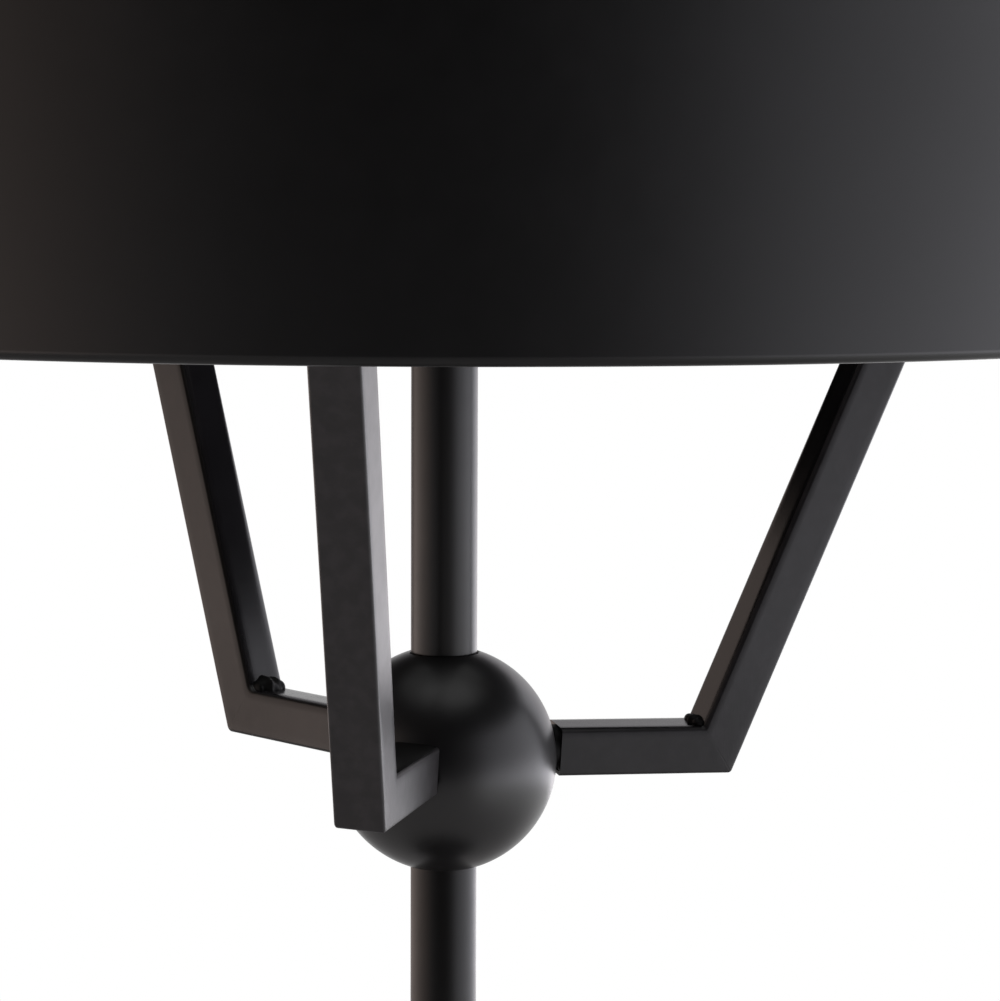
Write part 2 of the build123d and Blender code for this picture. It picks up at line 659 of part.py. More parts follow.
# Centre contacts: folded brass leaves on the insulators
with BuildPart() as centre_contacts:
    for azimuth in AZIMUTHS.values():
        with BuildSketch(side_plane(azimuth, holder_reach, seat_top + INSULATOR_TOP)):
            with BuildLine():
                Polyline(
                    (-CONTACT_W, 0),
                    (CONTACT_W / 2, 0),
                    (CONTACT_W / 2, CONTACT_RISE),
                    (-CONTACT_W / 2, CONTACT_RISE),
                    (-CONTACT_W / 2, CONTACT_RISE - CONTACT_T),
                    (CONTACT_W / 2 - CONTACT_T, CONTACT_RISE - CONTACT_T),
                    (CONTACT_W / 2 - CONTACT_T, CONTACT_T),
                    (-CONTACT_W, CONTACT_T),
                    close=True,
                )
            make_face()
        extrude(amount=CONTACT_W / 2, both=True)
centre_contacts.part = lean * centre_contacts.part
centre_contacts.part.label = "centre_contacts"
export_step(centre_contacts.part, "parts/centre_contacts.step")

# Leads: one insulated pair from each holder down through its arm into the ball
with BuildPart() as arm_leads:
    for azimuth in AZIMUTHS.values():
        out = outward(azimuth)
        below_seat = arm_top - LEAD_BEND_R / 2
        with BuildLine() as route:
            FilletPolyline(
                out * holder_reach + Vector(0, 0, seat_top + INSULATOR_START),
                out * holder_reach + Vector(0, 0, below_seat),
                out * mitre_reach + Vector(0, 0, arm_z),
                out * (rod_r + SLIP_GAP) + Vector(0, 0, arm_z),
                radius=LEAD_BEND_R,
            )
        with BuildSketch(Plane(origin=route.line @ 0, z_dir=route.line % 0)):
            Circle(LEAD_R)
        sweep(path=route.line)
arm_leads.part = lean * arm_leads.part
arm_leads.part.label = "arm_leads"
export_step(arm_leads.part, "parts/arm_leads.step")

# Switch keys: moulded paddles on brass spindles that turn in the holders
for side, azimuth in AZIMUTHS.items():
    spindle_start = holder_reach - insulator_r + SPINDLE_DEPTH
    key_start = holder_reach - HOLDER_CAP_R - SLIP_GAP
    with BuildPart() as switch_spindle:
        with BuildSketch(across_plane(azimuth, spindle_start, spindle_z)):
            Circle(SPINDLE_R)
        extrude(amount=key_start - KEY_HUB_LEN - spindle_start)
    switch_spindle.part = lean * switch_spindle.part
    switch_spindle.part.label = f"switch_spindle_{side}"
    export_step(switch_spindle.part, f"parts/switch_spindle_{side}.step")

    with BuildPart() as switch_key:
        with BuildSketch(across_plane(azimuth, key_start, spindle_z)):
            Circle(KEY_HUB_R)
        extrude(amount=-KEY_HUB_LEN)
        with BuildSketch(across_plane(azimuth, key_start - KEY_HUB_LEN, spindle_z)):
            SlotOverall(KEY_W, KEY_T)
        extrude(amount=-KEY_LEN + KEY_HUB_LEN)
        paddle_end = faces().sort_by(Axis((0, 0, 0), outward(azimuth)))[0]
        fillet(paddle_end.edges(), KEY_EDGE_R)
        with BuildSketch(across_plane(azimuth, key_start, spindle_z)):
            Circle(SPINDLE_R)
        extrude(amount=-KEY_HUB_LEN, mode=Mode.SUBTRACT)
    switch_key.part = lean * switch_key.part
    switch_key.part.label = f"switch_key_{side}"
    export_step(switch_key.part, f"parts/switch_key_{side}.step")

# Bulbs: a screw cap with a centre tip, and a round glass envelope that narrows to the neck
neck = radians(BULB_NECK_ANGLE)
for side, azimuth in AZIMUTHS.items():
    with BuildPart() as bulb_cap:
        with BuildSketch(side_plane(azimuth, holder_reach, bulb_bottom)):
            with BuildLine():
                Polyline(
                    (0, 0),
                    (BULB_TIP_R, 0),
                    (BULB_TIP_R, BULB_TIP_LEN),
                    (BULB_CONE_R, BULB_TIP_LEN),
                    (bulb_cap_r, BULB_TIP_LEN + BULB_CONE_LEN),
                    (bulb_cap_r, BULB_CAP_LEN),
                    (0, BULB_CAP_LEN),
                    close=True,
                )
            make_face()
        revolve(axis=upright_axis(azimuth, holder_reach))
    bulb_cap.part = lean * bulb_cap.part
    bulb_cap.part.label = f"bulb_cap_{side}"
    export_step(bulb_cap.part, f"parts/bulb_cap_{side}.step")

    with BuildPart() as bulb_glass:
        for wall, mode in ((0.0, Mode.ADD), (BULB_GLASS_T, Mode.SUBTRACT)):
            radius = BULB_R - wall
            centre = BULB_GLASS_LEN - BULB_R
            neck_r = bulb_cap_r - THREAD_GAP - wall
            crown = (0, centre + radius)
            shoulder = (radius * cos(neck), centre + radius * sin(neck))
            with BuildSketch(side_plane(azimuth, holder_reach, bulb_cap_top)):
                with BuildLine():
                    Polyline(crown, (0, 0), (neck_r, 0))
                    Spline((neck_r, 0), shoulder, tangents=[(0, 1), (-sin(neck), cos(neck))])
                    ThreePointArc(
                        shoulder,
                        (radius * cos(neck / 2 + radians(45)), centre + radius * sin(neck / 2 + radians(45))),
                        crown,
                    )
                make_face()
            revolve(axis=upright_axis(azimuth, holder_reach), mode=mode)
    bulb_glass.part = lean * bulb_glass.part
    bulb_glass.part.label = f"bulb_glass_{side}"
    export_step(bulb_glass.part, f"parts/bulb_glass_{side}.step")

# Shade: a rolled steel drum whose edges turn inward to a narrow flange, open at both ends
with BuildPart() as shade_drum:
    with BuildSketch(Plane.XZ):
        with Locations((shade_r, shade_bottom)):
            Rectangle(SHADE_FLANGE, SHADE_HEIGHT, align=(Align.MAX, Align.MIN))
        fillet(vertices().group_by(Axis.X)[-1], SHADE_LIP_R)
    revolve(axis=Axis.Z)
    with BuildSketch(Plane.XZ):
        with Locations((shade_in_r, shade_bottom + SHADE_WALL)):
            Rectangle(SHADE_FLANGE, SHADE_HEIGHT - 2 * SHADE_WALL, align=(Align.MAX, Align.MIN))
        fillet(vertices().group_by(Axis.X)[-1], SHADE_LIP_R - SHADE_WALL)
    revolve(axis=Axis.Z, mode=Mode.SUBTRACT)
shade_drum.part.label = "shade_drum"
export_step(shade_drum.part, "parts/shade_drum.step")

# Spider: a turned hub and three flat spokes whose tabs are spot-welded inside the drum
with BuildPart() as spider_hub:
    with BuildSketch(Plane.XY.offset(spider_bottom)):
        Circle(SPIDER_HUB_R)
    extrude(amount=SPIDER_HUB_T)
    chamfer(edges().filter_by(GeomType.CIRCLE), SPIDER_HUB_T / 8)
    with BuildSketch(Plane.XY.offset(spider_bottom)):
        Circle(rod_r + SLIP_GAP)
    extrude(amount=SPIDER_HUB_T, mode=Mode.SUBTRACT)
spider_hub.part.label = "spider_hub"
export_step(spider_hub.part, "parts/spider_hub.step")

spoke_bottom = spider_bottom + (SPIDER_HUB_T - SPOKE_T) / 2
with BuildPart() as spider_spokes:
    for azimuth in AZIMUTHS.values():
        with BuildSketch(side_plane(azimuth)):
            with BuildLine():
                Polyline(
                    (SPIDER_HUB_R / 2, spoke_bottom),
                    (shade_in_r - SPOKE_T, spoke_bottom),
                    (shade_in_r - SPOKE_T, spoke_bottom + SPOKE_T - SPOKE_TAB_H),
                    (shade_r, spoke_bottom + SPOKE_T - SPOKE_TAB_H),
                    (shade_r, spoke_bottom + SPOKE_T),
                    (SPIDER_HUB_R / 2, spoke_bottom + SPOKE_T),
                    close=True,
                )
            make_face()
        extrude(amount=SPOKE_W / 2, both=True)
    with BuildSketch(Plane.XY.offset(spider_top - SHADE_HEIGHT)):
        Circle(shade_in_r)
        Circle(SPIDER_HUB_R, mode=Mode.SUBTRACT)
    extrude(amount=2 * SHADE_HEIGHT, mode=Mode.INTERSECT)
spider_spokes.part.label = "spider_spokes"
export_step(spider_spokes.part, "parts/spider_spokes.step")

# Stem cap and its nut: they close the stem and carry the spider
with BuildPart() as stem_cap:
    with BuildSketch(Plane.XY.offset(stem_top)):
        Circle(stem_r + STEM_CAP_LIP)
    extrude(amount=STEM_CAP_T)
    chamfer(edges().group_by(Axis.Z)[-1], STEM_CAP_T / 4)
    with BuildSketch(Plane.XY.offset(stem_top)):
        Circle(stem_bore_r - THREAD_GAP)
    extrude(amount=-STEM_CAP_SPIGOT)
    with BuildSketch(Plane.XY.offset(stem_top - STEM_CAP_SPIGOT)):
        Circle(thread_hole_r)
    extrude(amount=STEM_CAP_SPIGOT + STEM_CAP_T, mode=Mode.SUBTRACT)
stem_cap.part.label = "stem_cap"
export_step(stem_cap.part, "parts/stem_cap.step")

with BuildPart() as top_nut:
    with BuildSketch(Plane.XY.offset(top_nut_bottom)):
        RegularPolygon(NUT_FLATS / 2, 6, major_radius=False)
        Circle(thread_hole_r, mode=Mode.SUBTRACT)
    extrude(amount=TOP_NUT_T)
top_nut.part.label = "top_nut"
export_step(top_nut.part, "parts/top_nut.step")

# Finial: a turned knob with a blind tapped hole, the ball hub's shape again in small
finial_neck_top = spider_top + FINIAL_FLANGE_H + FINIAL_NECK_H
finial_centre = finial_neck_top + (FINIAL_BALL_R**2 - FINIAL_NECK_R**2) ** 0.5
with BuildPart() as finial:
    with BuildSketch(Plane.XZ):
        with BuildLine():
            Polyline(
                (0, finial_centre + FINIAL_BALL_R),
                (0, spider_top),
                (FINIAL_FLANGE_R, spider_top),
                (FINIAL_FLANGE_R, spider_top + FINIAL_FLANGE_H / 2),
                (FINIAL_NECK_R, spider_top + FINIAL_FLANGE_H),
                (FINIAL_NECK_R, finial_neck_top),
            )
            ThreePointArc(
                (FINIAL_NECK_R, finial_neck_top),
                (FINIAL_BALL_R, finial_centre),
                (0, finial_centre + FINIAL_BALL_R),
            )
        make_face()
    revolve(axis=Axis.Z)
    with BuildSketch(Plane.XY.offset(spider_top)):
        Circle(thread_hole_r)
    extrude(amount=ROD_IN_FINIAL + FINIAL_BORE_SPARE, mode=Mode.SUBTRACT)
finial.part.label = "finial"
export_step(finial.part, "parts/finial.step")
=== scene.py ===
import bpy
import bmesh
from math import atan2, cos, exp, pi, radians, sin, sqrt, tan
from mathutils import Matrix, Vector, noise


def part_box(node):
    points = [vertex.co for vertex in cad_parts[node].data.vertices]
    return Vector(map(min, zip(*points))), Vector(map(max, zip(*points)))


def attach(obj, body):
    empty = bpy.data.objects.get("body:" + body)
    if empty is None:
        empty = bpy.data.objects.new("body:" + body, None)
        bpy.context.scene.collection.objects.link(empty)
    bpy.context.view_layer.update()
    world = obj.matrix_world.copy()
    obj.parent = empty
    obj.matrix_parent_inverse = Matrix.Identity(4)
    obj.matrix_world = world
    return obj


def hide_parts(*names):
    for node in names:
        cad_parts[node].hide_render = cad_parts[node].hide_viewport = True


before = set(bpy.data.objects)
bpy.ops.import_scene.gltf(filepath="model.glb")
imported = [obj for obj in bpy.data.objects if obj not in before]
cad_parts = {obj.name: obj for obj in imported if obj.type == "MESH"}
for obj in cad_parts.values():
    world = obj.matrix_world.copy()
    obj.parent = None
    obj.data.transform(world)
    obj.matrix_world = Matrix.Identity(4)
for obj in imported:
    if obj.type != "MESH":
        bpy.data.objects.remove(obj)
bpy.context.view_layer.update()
MM = 0.001
STAND = "stand"


# Base cover
# A dish spun from 1.5 mm steel sheet, with a low crown and a rolled edge, powder-coated satin
# black. The rod's nut pulls it down on the iron weight.
class Level:
    """A value in a shader. Python's operators on it add Math nodes."""

    def __init__(self, nodes, socket):
        self.nodes = nodes
        self.socket = socket

    def math(self, operation, *others):
        sockets = {0: self}
        sockets.update({i + 1: other for i, other in enumerate(others)})
        return self.nodes.node("ShaderNodeMath", {"operation": operation}, sockets)

    def __add__(self, other):
        return self.math("ADD", other)

    def __radd__(self, other):
        return self.math("ADD", other)

    def __sub__(self, other):
        return self.math("SUBTRACT", other)

    def __rsub__(self, other):
        return self.nodes.node("ShaderNodeMath", {"operation": "SUBTRACT"}, {0: other, 1: self})

    def __mul__(self, other):
        return self.math("MULTIPLY", other)

    def __rmul__(self, other):
        return self.math("MULTIPLY", other)

    def __abs__(self):
        return self.math("ABSOLUTE")

    def band(self, low, high):
        """0 below low, 1 above high, with a soft step between."""
        sockets = {"Value": self, "From Min": low, "From Max": high}
        return self.nodes.node("ShaderNodeMapRange", {"interpolation_type": "SMOOTHSTEP"}, sockets)


class Nodes:
    """The node tree of a finish or of the room's light."""

    def __init__(self, tree):
        self.tree = tree

    def node(self, kind, settings, sockets, output=0):
        made = self.tree.nodes.new(kind)
        for name, value in settings.items():
            if name == "stops":
                while len(made.color_ramp.elements) < len(value):
                    made.color_ramp.elements.new(1.0)
                for element, (place, colour) in zip(made.color_ramp.elements, value):
                    element.position = place
                    element.color = colour
            else:
                setattr(made, name, value)
        for name, value in sockets.items():
            self.feed(made.inputs[name], value)
        return Level(self, made.outputs[output])

    def feed(self, socket, value):
        if isinstance(value, Level):
            self.tree.links.new(value.socket, socket)
        else:
            socket.default_value = value

    def place(self):
        """The point on the lamp, in metres."""
        return self.node("ShaderNodeTexCoord", {}, {}, output=3)

    def speckle(self, per_metre, detail=3.0, vector=None):
        sockets = {"Vector": vector or self.place(), "Scale": per_metre, "Detail": detail}
        return self.node("ShaderNodeTexNoise", {}, sockets)

    def mix(self, factor, colour_a, colour_b):
        settings = {"data_type": "RGBA", "clamp_factor": True}
        return self.node("ShaderNodeMix", settings, {0: factor, 6: colour_a, 7: colour_b}, output=2)

    def away_from_plane(self, point, normal):
        """Distance of the surface from a plane, negative behind it."""
        sockets = {0: self.place(), 1: normal}
        dot = self.node("ShaderNodeVectorMath", {"operation": "DOT_PRODUCT"}, sockets, output=1)
        return dot - Vector(point).dot(normal)


class Finish(Nodes):
    """A material with one Principled shader. Sockets that stay the same all over are set on it."""

    def __init__(self, name, **fixed):
        self.material = bpy.data.materials.new(name)
        self.material.use_nodes = True
        super().__init__(self.material.node_tree)
        self.shader = self.tree.nodes["Principled BSDF"]
        for socket, value in fixed.items():
            self.feed(self.shader.inputs[socket.replace("_", " ")], value)

    def vary(self, socket, value):
        self.feed(self.shader.inputs[socket], value)

    def bump(self, height, depth):
        sockets = {"Height": height, "Distance": depth, "Strength": 1.0}
        self.vary("Normal", self.node("ShaderNodeBump", {}, sockets))


darkest_black = (0.0028, 0.0027, 0.0028)
palest_black = (0.0044, 0.0042, 0.0044)
peel_depth = 0.012 * MM


def tinted(colour, tint):
    return tuple(part * change for part, change in zip(colour, tint)) + (1,)


def cloudy(coat, tint, per_metre=45.0):
    """Black that drifts a little in tone."""
    clouds = coat.speckle(per_metre, 4.0).band(0.35, 0.7)
    return coat.mix(clouds, tinted(darkest_black, tint), tinted(palest_black, tint))


def orange_peel(coat):
    """The fine swell of baked powder, coarse and fine together."""
    return coat.speckle(900.0, 2.0) * 0.7 + coat.speckle(3600.0, 2.0) * 0.3


def satin_black(name, tint=(1.0, 1.0, 1.0), gloss=0.36, specular=0.5):
    """Baked black powder coat, whose gloss drifts a little from place to place."""
    coat = Finish(name, Specular_IOR_Level=specular)
    coat.vary("Base Color", cloudy(coat, tint))
    coat.vary("Roughness", coat.speckle(160.0, 5.0) * 0.07 + (gloss - 0.035))
    coat.bump(orange_peel(coat), peel_depth)
    return coat


def soften(points, radii, steps=8):
    """Rounds the corners of a line of points; radii holds one radius for each inner point."""
    made = [tuple(points[0])]
    for before, corner, after, radius in zip(points, points[1:], points[2:], radii):
        corner_v = Vector(corner)
        into = (Vector(before) - corner_v).normalized()
        out = (Vector(after) - corner_v).normalized()
        half = into.angle(out) / 2
        if radius <= 0 or half > pi / 2 - 1e-4:
            made.append(tuple(corner))
            continue
        centre = corner_v + (into + out).normalized() * (radius / sin(half))
        start = corner_v + into * (radius / tan(half)) - centre
        sweep = pi - 2 * half
        if into.x * out.y - into.y * out.x >= 0:
            sweep = -sweep
        for i in range(steps + 1):
            made.append(tuple(centre + Matrix.Rotation(sweep * i / steps, 2) @ start))
    made.append(tuple(points[-1]))
    return made


def finished_mesh(name, bm, material, body, *nodes, crease=32.0, place=None):
    """Closes a modelled mesh into a piece that rides on a body and stands for CAD nodes."""
    if place:
        bmesh.ops.transform(bm, verts=bm.verts, matrix=place)
    bmesh.ops.remove_doubles(bm, verts=bm.verts, dist=1e-7)
    bmesh.ops.recalc_face_normals(bm, faces=bm.faces)
    mesh = bpy.data.meshes.new(name)
    bm.to_mesh(mesh)
    bm.free()
    mesh.shade_smooth()
    mesh.set_sharp_from_angle(angle=radians(crease))
    mesh.materials.append(material)
    piece = bpy.data.objects.new(name, mesh)
    bpy.context.scene.collection.objects.link(piece)
    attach(piece, body)
    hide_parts(*nodes)


def turn_profile(bm, profile, centre=(0, 0), segments=128, closed=True):
    """Turns a line of (radius, height) points about an upright axis. Closed lines make a ring."""
    rings = []
    for radius, height in profile:
        if radius < 1e-7:
            rings.append([bm.verts.new((centre[0], centre[1], height))])
            continue
        ring = []
        for i in range(segments):
            angle = 2 * pi * i / segments
            spot = (centre[0] + radius * cos(angle), centre[1] + radius * sin(angle), height)
            ring.append(bm.verts.new(spot))
        rings.append(ring)
    pairs = list(zip(rings, rings[1:]))
    if closed:
        pairs.append((rings[-1], rings[0]))
    for lower, upper in pairs:
        for i in range(segments):
            j = (i + 1) % segments
            corners = [lower[i % len(lower)], lower[j % len(lower)]]
            corners += [upper[j % len(upper)], upper[i % len(upper)]]
            corners = list(dict.fromkeys(corners))
            if len(corners) > 2:
                bm.faces.new(corners)


cover_low, cover_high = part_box("base_cover")
cover_r = cover_high.x
cover_wall = 1.5 * MM
crown_r = 24 * MM
crown_sweep = 20 * MM
cover_edge_z = 20 * MM
cover_edge_r = 6 * MM
rolled_edge_r = 0.5 * MM
rod_hole_r = 5.1 * MM
cover_outline = soften(
    [
        (rod_hole_r, cover_high.z),
        (crown_r, cover_high.z),
        (cover_r, cover_edge_z),
        (cover_r, cover_low.z),
        (cover_r - cover_wall, cover_low.z),
        (cover_r - cover_wall, cover_edge_z - cover_wall),
        (crown_r, cover_high.z - cover_wall),
        (rod_hole_r, cover_high.z - cover_wall),
    ],
    [crown_sweep, cover_edge_r, rolled_edge_r, rolled_edge_r, cover_edge_r - cover_wall, crown_sweep],
    steps=12,
)
base_black = satin_black("satin_black_base")
bm = bmesh.new()
turn_profile(bm, cover_outline, segments=240)
finished_mesh("base_cover_spun", bm, base_black.material, STAND, "base_cover")


# Base weight, washer, nut and rod
# A raw sand-cast iron disc inside the cover, held by a zinc-plated nut and washer on the threaded
# rod. Only the rod's top end shows, when the shade is lifted off.
def coat_cad(material, *nodes):
    """Gives CAD pieces that keep their shape their finish."""
    for node in nodes:
        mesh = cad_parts[node].data
        mesh.materials.clear()
        mesh.materials.append(material)


def grained(name, dark, light, tone, gloss, grain=None, **fixed):
    """A finish that varies a little. tone is (per metre, detail), gloss is (smoothest, spread, per
    metre, detail) and grain is (per metre, detail, depth)."""
    finish = Finish(name, **fixed)
    finish.vary("Base Color", finish.mix(finish.speckle(*tone), dark + (1,), light + (1,)))
    smoothest, spread, *gloss_grain = gloss
    finish.vary("Roughness", finish.speckle(*gloss_grain) * spread + smoothest)
    if grain:
        per_metre, detail, depth = grain
        finish.bump(finish.speckle(per_metre, detail), depth)
    return finish


iron = Finish("sand_cast_iron")
sand_marks = iron.speckle(220.0, 6.0).band(0.3, 0.7)
iron.vary("Base Color", iron.mix(sand_marks, (0.035, 0.033, 0.031, 1), (0.075, 0.07, 0.066, 1)))
iron.vary("Roughness", iron.speckle(800.0) * 0.2 + 0.6)
iron.bump(iron.speckle(1400.0, 5.0), 0.25 * MM)
zinc = grained("zinc_plate", (0.46, 0.47, 0.48), (0.62, 0.62, 0.6), tone=(350, 4),
               gloss=(0.28, 0.2, 900, 4), grain=(2600, 3, 0.02 * MM), Metallic=1.0)
coat_cad(iron.material, "base_weight")
coat_cad(zinc.material, "base_washer", "base_nut", "hub_nipples", "foot_plugs", "holder_nipples")

rod_low, rod_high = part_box("lamp_rod")
rod_r = rod_high.x
rod_bore_r = rod_r - 1.25 * MM
pitch = 1 * MM
thread_depth = 0.45 * pitch
thread_low = rod_high.z - 34 * MM
rod_outline = [(rod_bore_r, rod_low.z), (rod_r - thread_depth, rod_low.z),
               (rod_r, rod_low.z + thread_depth), (rod_r, thread_low)]
for i in range(int((rod_high.z - thread_depth - thread_low) / pitch)):
    rod_outline.append((rod_r - thread_depth, thread_low + (i + 0.5) * pitch))
    rod_outline.append((rod_r, thread_low + (i + 1) * pitch))
rod_outline += [(rod_r - thread_depth, rod_high.z), (rod_bore_r, rod_high.z)]
bm = bmesh.new()
turn_profile(bm, rod_outline, segments=64)
finished_mesh("lamp_rod_threaded", bm, zinc.material, STAND, "lamp_rod", crease=20)


# Bottom plate, its screws and the feet
# A zinc-plated sheet steel disc closes the base. Three pan-head screws hold it, and four moulded
# rubber feet are pushed through it.
def outward(azimuth):
    """The level direction at an azimuth in degrees."""
    return Vector((cos(radians(azimuth)), sin(radians(azimuth)), 0))


plate_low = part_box("bottom_plate")[0]
coat_cad(zinc.material, "bottom_plate")
screws_low, screws_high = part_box("plate_screws")
screw_head_r = 3.6 * MM
screw_r = 2 * MM
screw_circle_r = (screws_high.x - screw_head_r) / cos(radians(30))
screw_outline = soften(
    [
        (0, screws_low.z),
        (screw_head_r, screws_low.z),
        (screw_head_r, plate_low.z),
        (screw_r, plate_low.z),
        (screw_r, screws_high.z),
        (0, screws_high.z),
    ],
    [1.2 * MM, 0.1 * MM, 0, 0.6 * MM],
)
bm = bmesh.new()
for angle in (30, 150, 270):
    turn_profile(bm, screw_outline, outward(angle) * screw_circle_r, segments=48, closed=False)
finished_mesh("plate_screws_pan", bm, zinc.material, STAND, "plate_screws")

rubber = grained("foot_rubber", (0.018, 0.018, 0.018), (0.032, 0.031, 0.03), tone=(500, 4),
                 gloss=(0.62, 0.15, 1200, 3), grain=(3000, 3, 0.03 * MM))
feet_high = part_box("base_feet")[1]
foot_r = 9 * MM
foot_plug_r = 3.4 * MM
foot_hollow_r = 5.5 * MM
foot_rim_r = 6.2 * MM
foot_hollow = 0.7 * MM
foot_circle_r = (feet_high.x - foot_r) * sqrt(2)
foot_outline = soften(
    [
        (0, foot_hollow),
        (foot_hollow_r, foot_hollow),
        (foot_rim_r, 0),
        (foot_r, 0),
        (foot_r, plate_low.z),
        (foot_plug_r, plate_low.z),
        (foot_plug_r, feet_high.z),
        (0, feet_high.z),
    ],
    [0.3 * MM, 0.4 * MM, 0.9 * MM, 0.3 * MM, 0, 0.4 * MM],
)
bm = bmesh.new()
for angle in (45, 135, 225, 315):
    turn_profile(bm, foot_outline, outward(angle) * foot_circle_r, segments=64, closed=False)
finished_mesh("base_feet_moulded", bm, rubber.material, STAND, "base_feet")


# Cord inlet
# A moulded phenolic bush with a rounded flange, pushed from outside into a hole in the back of
# the cover.
phenolic = grained("moulded_phenolic", (0.012, 0.011, 0.01), (0.024, 0.021, 0.019), tone=(260, 4),
                   gloss=(0.3, 0.12, 700, 3), grain=(2400, 3, 0.02 * MM), IOR=1.55)
inlet_low, inlet_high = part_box("cord_inlet")
inlet_z = (inlet_low.z + inlet_high.z) / 2
inlet_length = inlet_high.y - inlet_low.y
inlet_bore_r = 3.6 * MM
inlet_barrel_r = 5.2 * MM
flange_r = inlet_high.x
flange_low = inlet_length - 1.6 * MM
bush = soften(
    [
        (inlet_bore_r, 0),
        (inlet_barrel_r, 0),
        (inlet_barrel_r, flange_low),
        (flange_r, flange_low),
        (flange_r, inlet_length),
        (inlet_bore_r, inlet_length),
    ],
    [0.3 * MM, 0, 0.2 * MM, 0.8 * MM],
)
bm = bmesh.new()
turn_profile(bm, bush, segments=64)
finished_mesh("cord_inlet_bush", bm, phenolic.material, STAND, "cord_inlet",
              place=Matrix.Translation((0, inlet_low.y, inlet_z)) @ Matrix.Rotation(-pi / 2, 4, "X"))


# Base collar
# A turned steel foot with a cove between its flange and its neck. It stands on the cover and
# centres the stem in a shallow seat.
collar_low, collar_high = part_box("base_collar")
stem_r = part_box("upper_stem")[1].x
cove_foot_r, cove_foot_z = 18 * MM, collar_low.z + 3 * MM
neck_r, cove_top_z = 12.5 * MM, collar_high.z - 5 * MM
stem_seat_r = stem_r + 0.1 * MM
stem_seat_z = collar_high.z - 6 * MM
cove_steps = 12
cove = []
for i in range(cove_steps + 1):
    part = i / cove_steps
    start_share, middle_share, end_share = (1 - part) ** 2, 2 * part * (1 - part), part**2
    cove.append((cove_foot_r * start_share + neck_r * (middle_share + end_share),
                 cove_foot_z * (start_share + middle_share) + cove_top_z * end_share))
foot = soften([(rod_hole_r, collar_low.z), (collar_high.x, collar_low.z), cove[0], cove[1]],
              [0.3 * MM, 0.3 * MM])
neck = soften([cove[-1], (neck_r, collar_high.z), (stem_seat_r, collar_high.z), (stem_seat_r, stem_seat_z)],
              [0.8 * MM, 0.3 * MM])
bm = bmesh.new()
turn_profile(bm, foot[:-1] + cove[1:-1] + neck + [(rod_hole_r, stem_seat_z)], segments=160)
finished_mesh("base_collar_turned", bm, base_black.material, STAND, "base_collar")


# Stem tubes
# Two lengths of 19 mm steel tube, one from the collar to the ball and one from the ball to the
# shade, cut square and lightly deburred, then coated with the rest.
stem_wall = 1.2 * MM
burr_r = 0.25 * MM
stem_black = satin_black("satin_black_stem", tint=(1.12, 1.0, 0.95), gloss=0.33)
for node in ("lower_stem", "upper_stem"):
    tube_low, tube_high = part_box(node)
    bore_r = stem_r - stem_wall
    tube = soften([(bore_r, tube_low.z), (stem_r, tube_low.z), (stem_r, tube_high.z), (bore_r, tube_high.z)],
                  [burr_r, burr_r], steps=4)
    bm = bmesh.new()
    turn_profile(bm, tube, segments=160)
    finished_mesh(node + "_tube", bm, stem_black.material, STAND, node)


# Ball hub
# A hollow steel ball, turned and tumbled smooth. The stem holes at its poles are a little wider
# than the tubes and lightly chamfered, and each arm has a flat spot face.
def turned_at(spot, axis, angle):
    """A turn about an axis through a point."""
    middle = Matrix.Translation(spot)
    return middle @ Matrix.Rotation(radians(angle), 4, axis) @ middle.inverted()


UP = Vector((0, 0, 1))
ball_low, ball_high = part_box("ball_hub")
ball_r = ball_high.y
ball_z = (ball_low.z + ball_high.z) / 2
arm_z = ball_z + 2.8 * MM
arm_azimuths = {"front": 270, "right": 30, "left": 150}
lean_azimuth = 14
lean = turned_at(UP * ball_z, outward(lean_azimuth + 90), 2.1)
arm_twist = {"front": 1.2, "right": -0.3, "left": -0.3}
arm_rise = {"front": -0.4, "right": 0.15, "left": -0.4}
arm_stances = {}
for side, azimuth in arm_azimuths.items():
    out = outward(azimuth)
    raised = turned_at(out * ball_r + UP * arm_z, out.cross(UP), arm_rise[side])
    arm_stances[side] = lean @ turned_at(UP * arm_z, out, -arm_twist[side]) @ raised

hole_r = stem_r + 0.35 * MM
hole_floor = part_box("upper_stem")[0].z - ball_z
chamfer = 0.35 * MM
edge_angle = atan2(sqrt(ball_r**2 - (hole_r + chamfer) ** 2), hole_r + chamfer)
chamfer_low = ball_r * sin(edge_angle) - chamfer
ball_steps = 128
ball_outline = [(rod_hole_r, ball_z + hole_floor), (hole_r, ball_z + hole_floor),
                (hole_r, ball_z + chamfer_low)]
for i in range(ball_steps + 1):
    angle = edge_angle * (1 - 2 * i / ball_steps)
    ball_outline.append((ball_r * cos(angle), ball_z + ball_r * sin(angle)))
ball_outline += [(hole_r, ball_z - chamfer_low), (hole_r, ball_z - hole_floor),
                 (rod_hole_r, ball_z - hole_floor)]
bm = bmesh.new()
turn_profile(bm, ball_outline, segments=288)
spot_face = ball_r - 0.85 * MM
spot_face_r = 7 * MM
for side, azimuth in arm_azimuths.items():
    out = arm_stances[side].to_3x3() @ outward(azimuth)
    port = arm_stances[side] @ (UP * arm_z)
    for vert in bm.verts:
        reach = (vert.co - port).dot(out)
        aside = (vert.co - port - out * reach).length
        if reach > spot_face and aside < spot_face_r:
            vert.co -= out * (reach - spot_face)
ball_black = satin_black("satin_black_ball", tint=(2.2, 2.15, 2.25), specular=0.82)
dust = ball_black.speckle(2600.0, 1.0).band(0.79, 0.83)
ball_black.vary("Roughness", ball_black.speckle(120.0, 4.0) * 0.06 + 0.29 + dust * 0.2)
finished_mesh("ball_hub_turned", bm, ball_black.material, STAND, "ball_hub")
washer_black = satin_black("satin_black_washer", gloss=0.5, specular=0.25)
coat_cad(washer_black.material, "hub_washers")


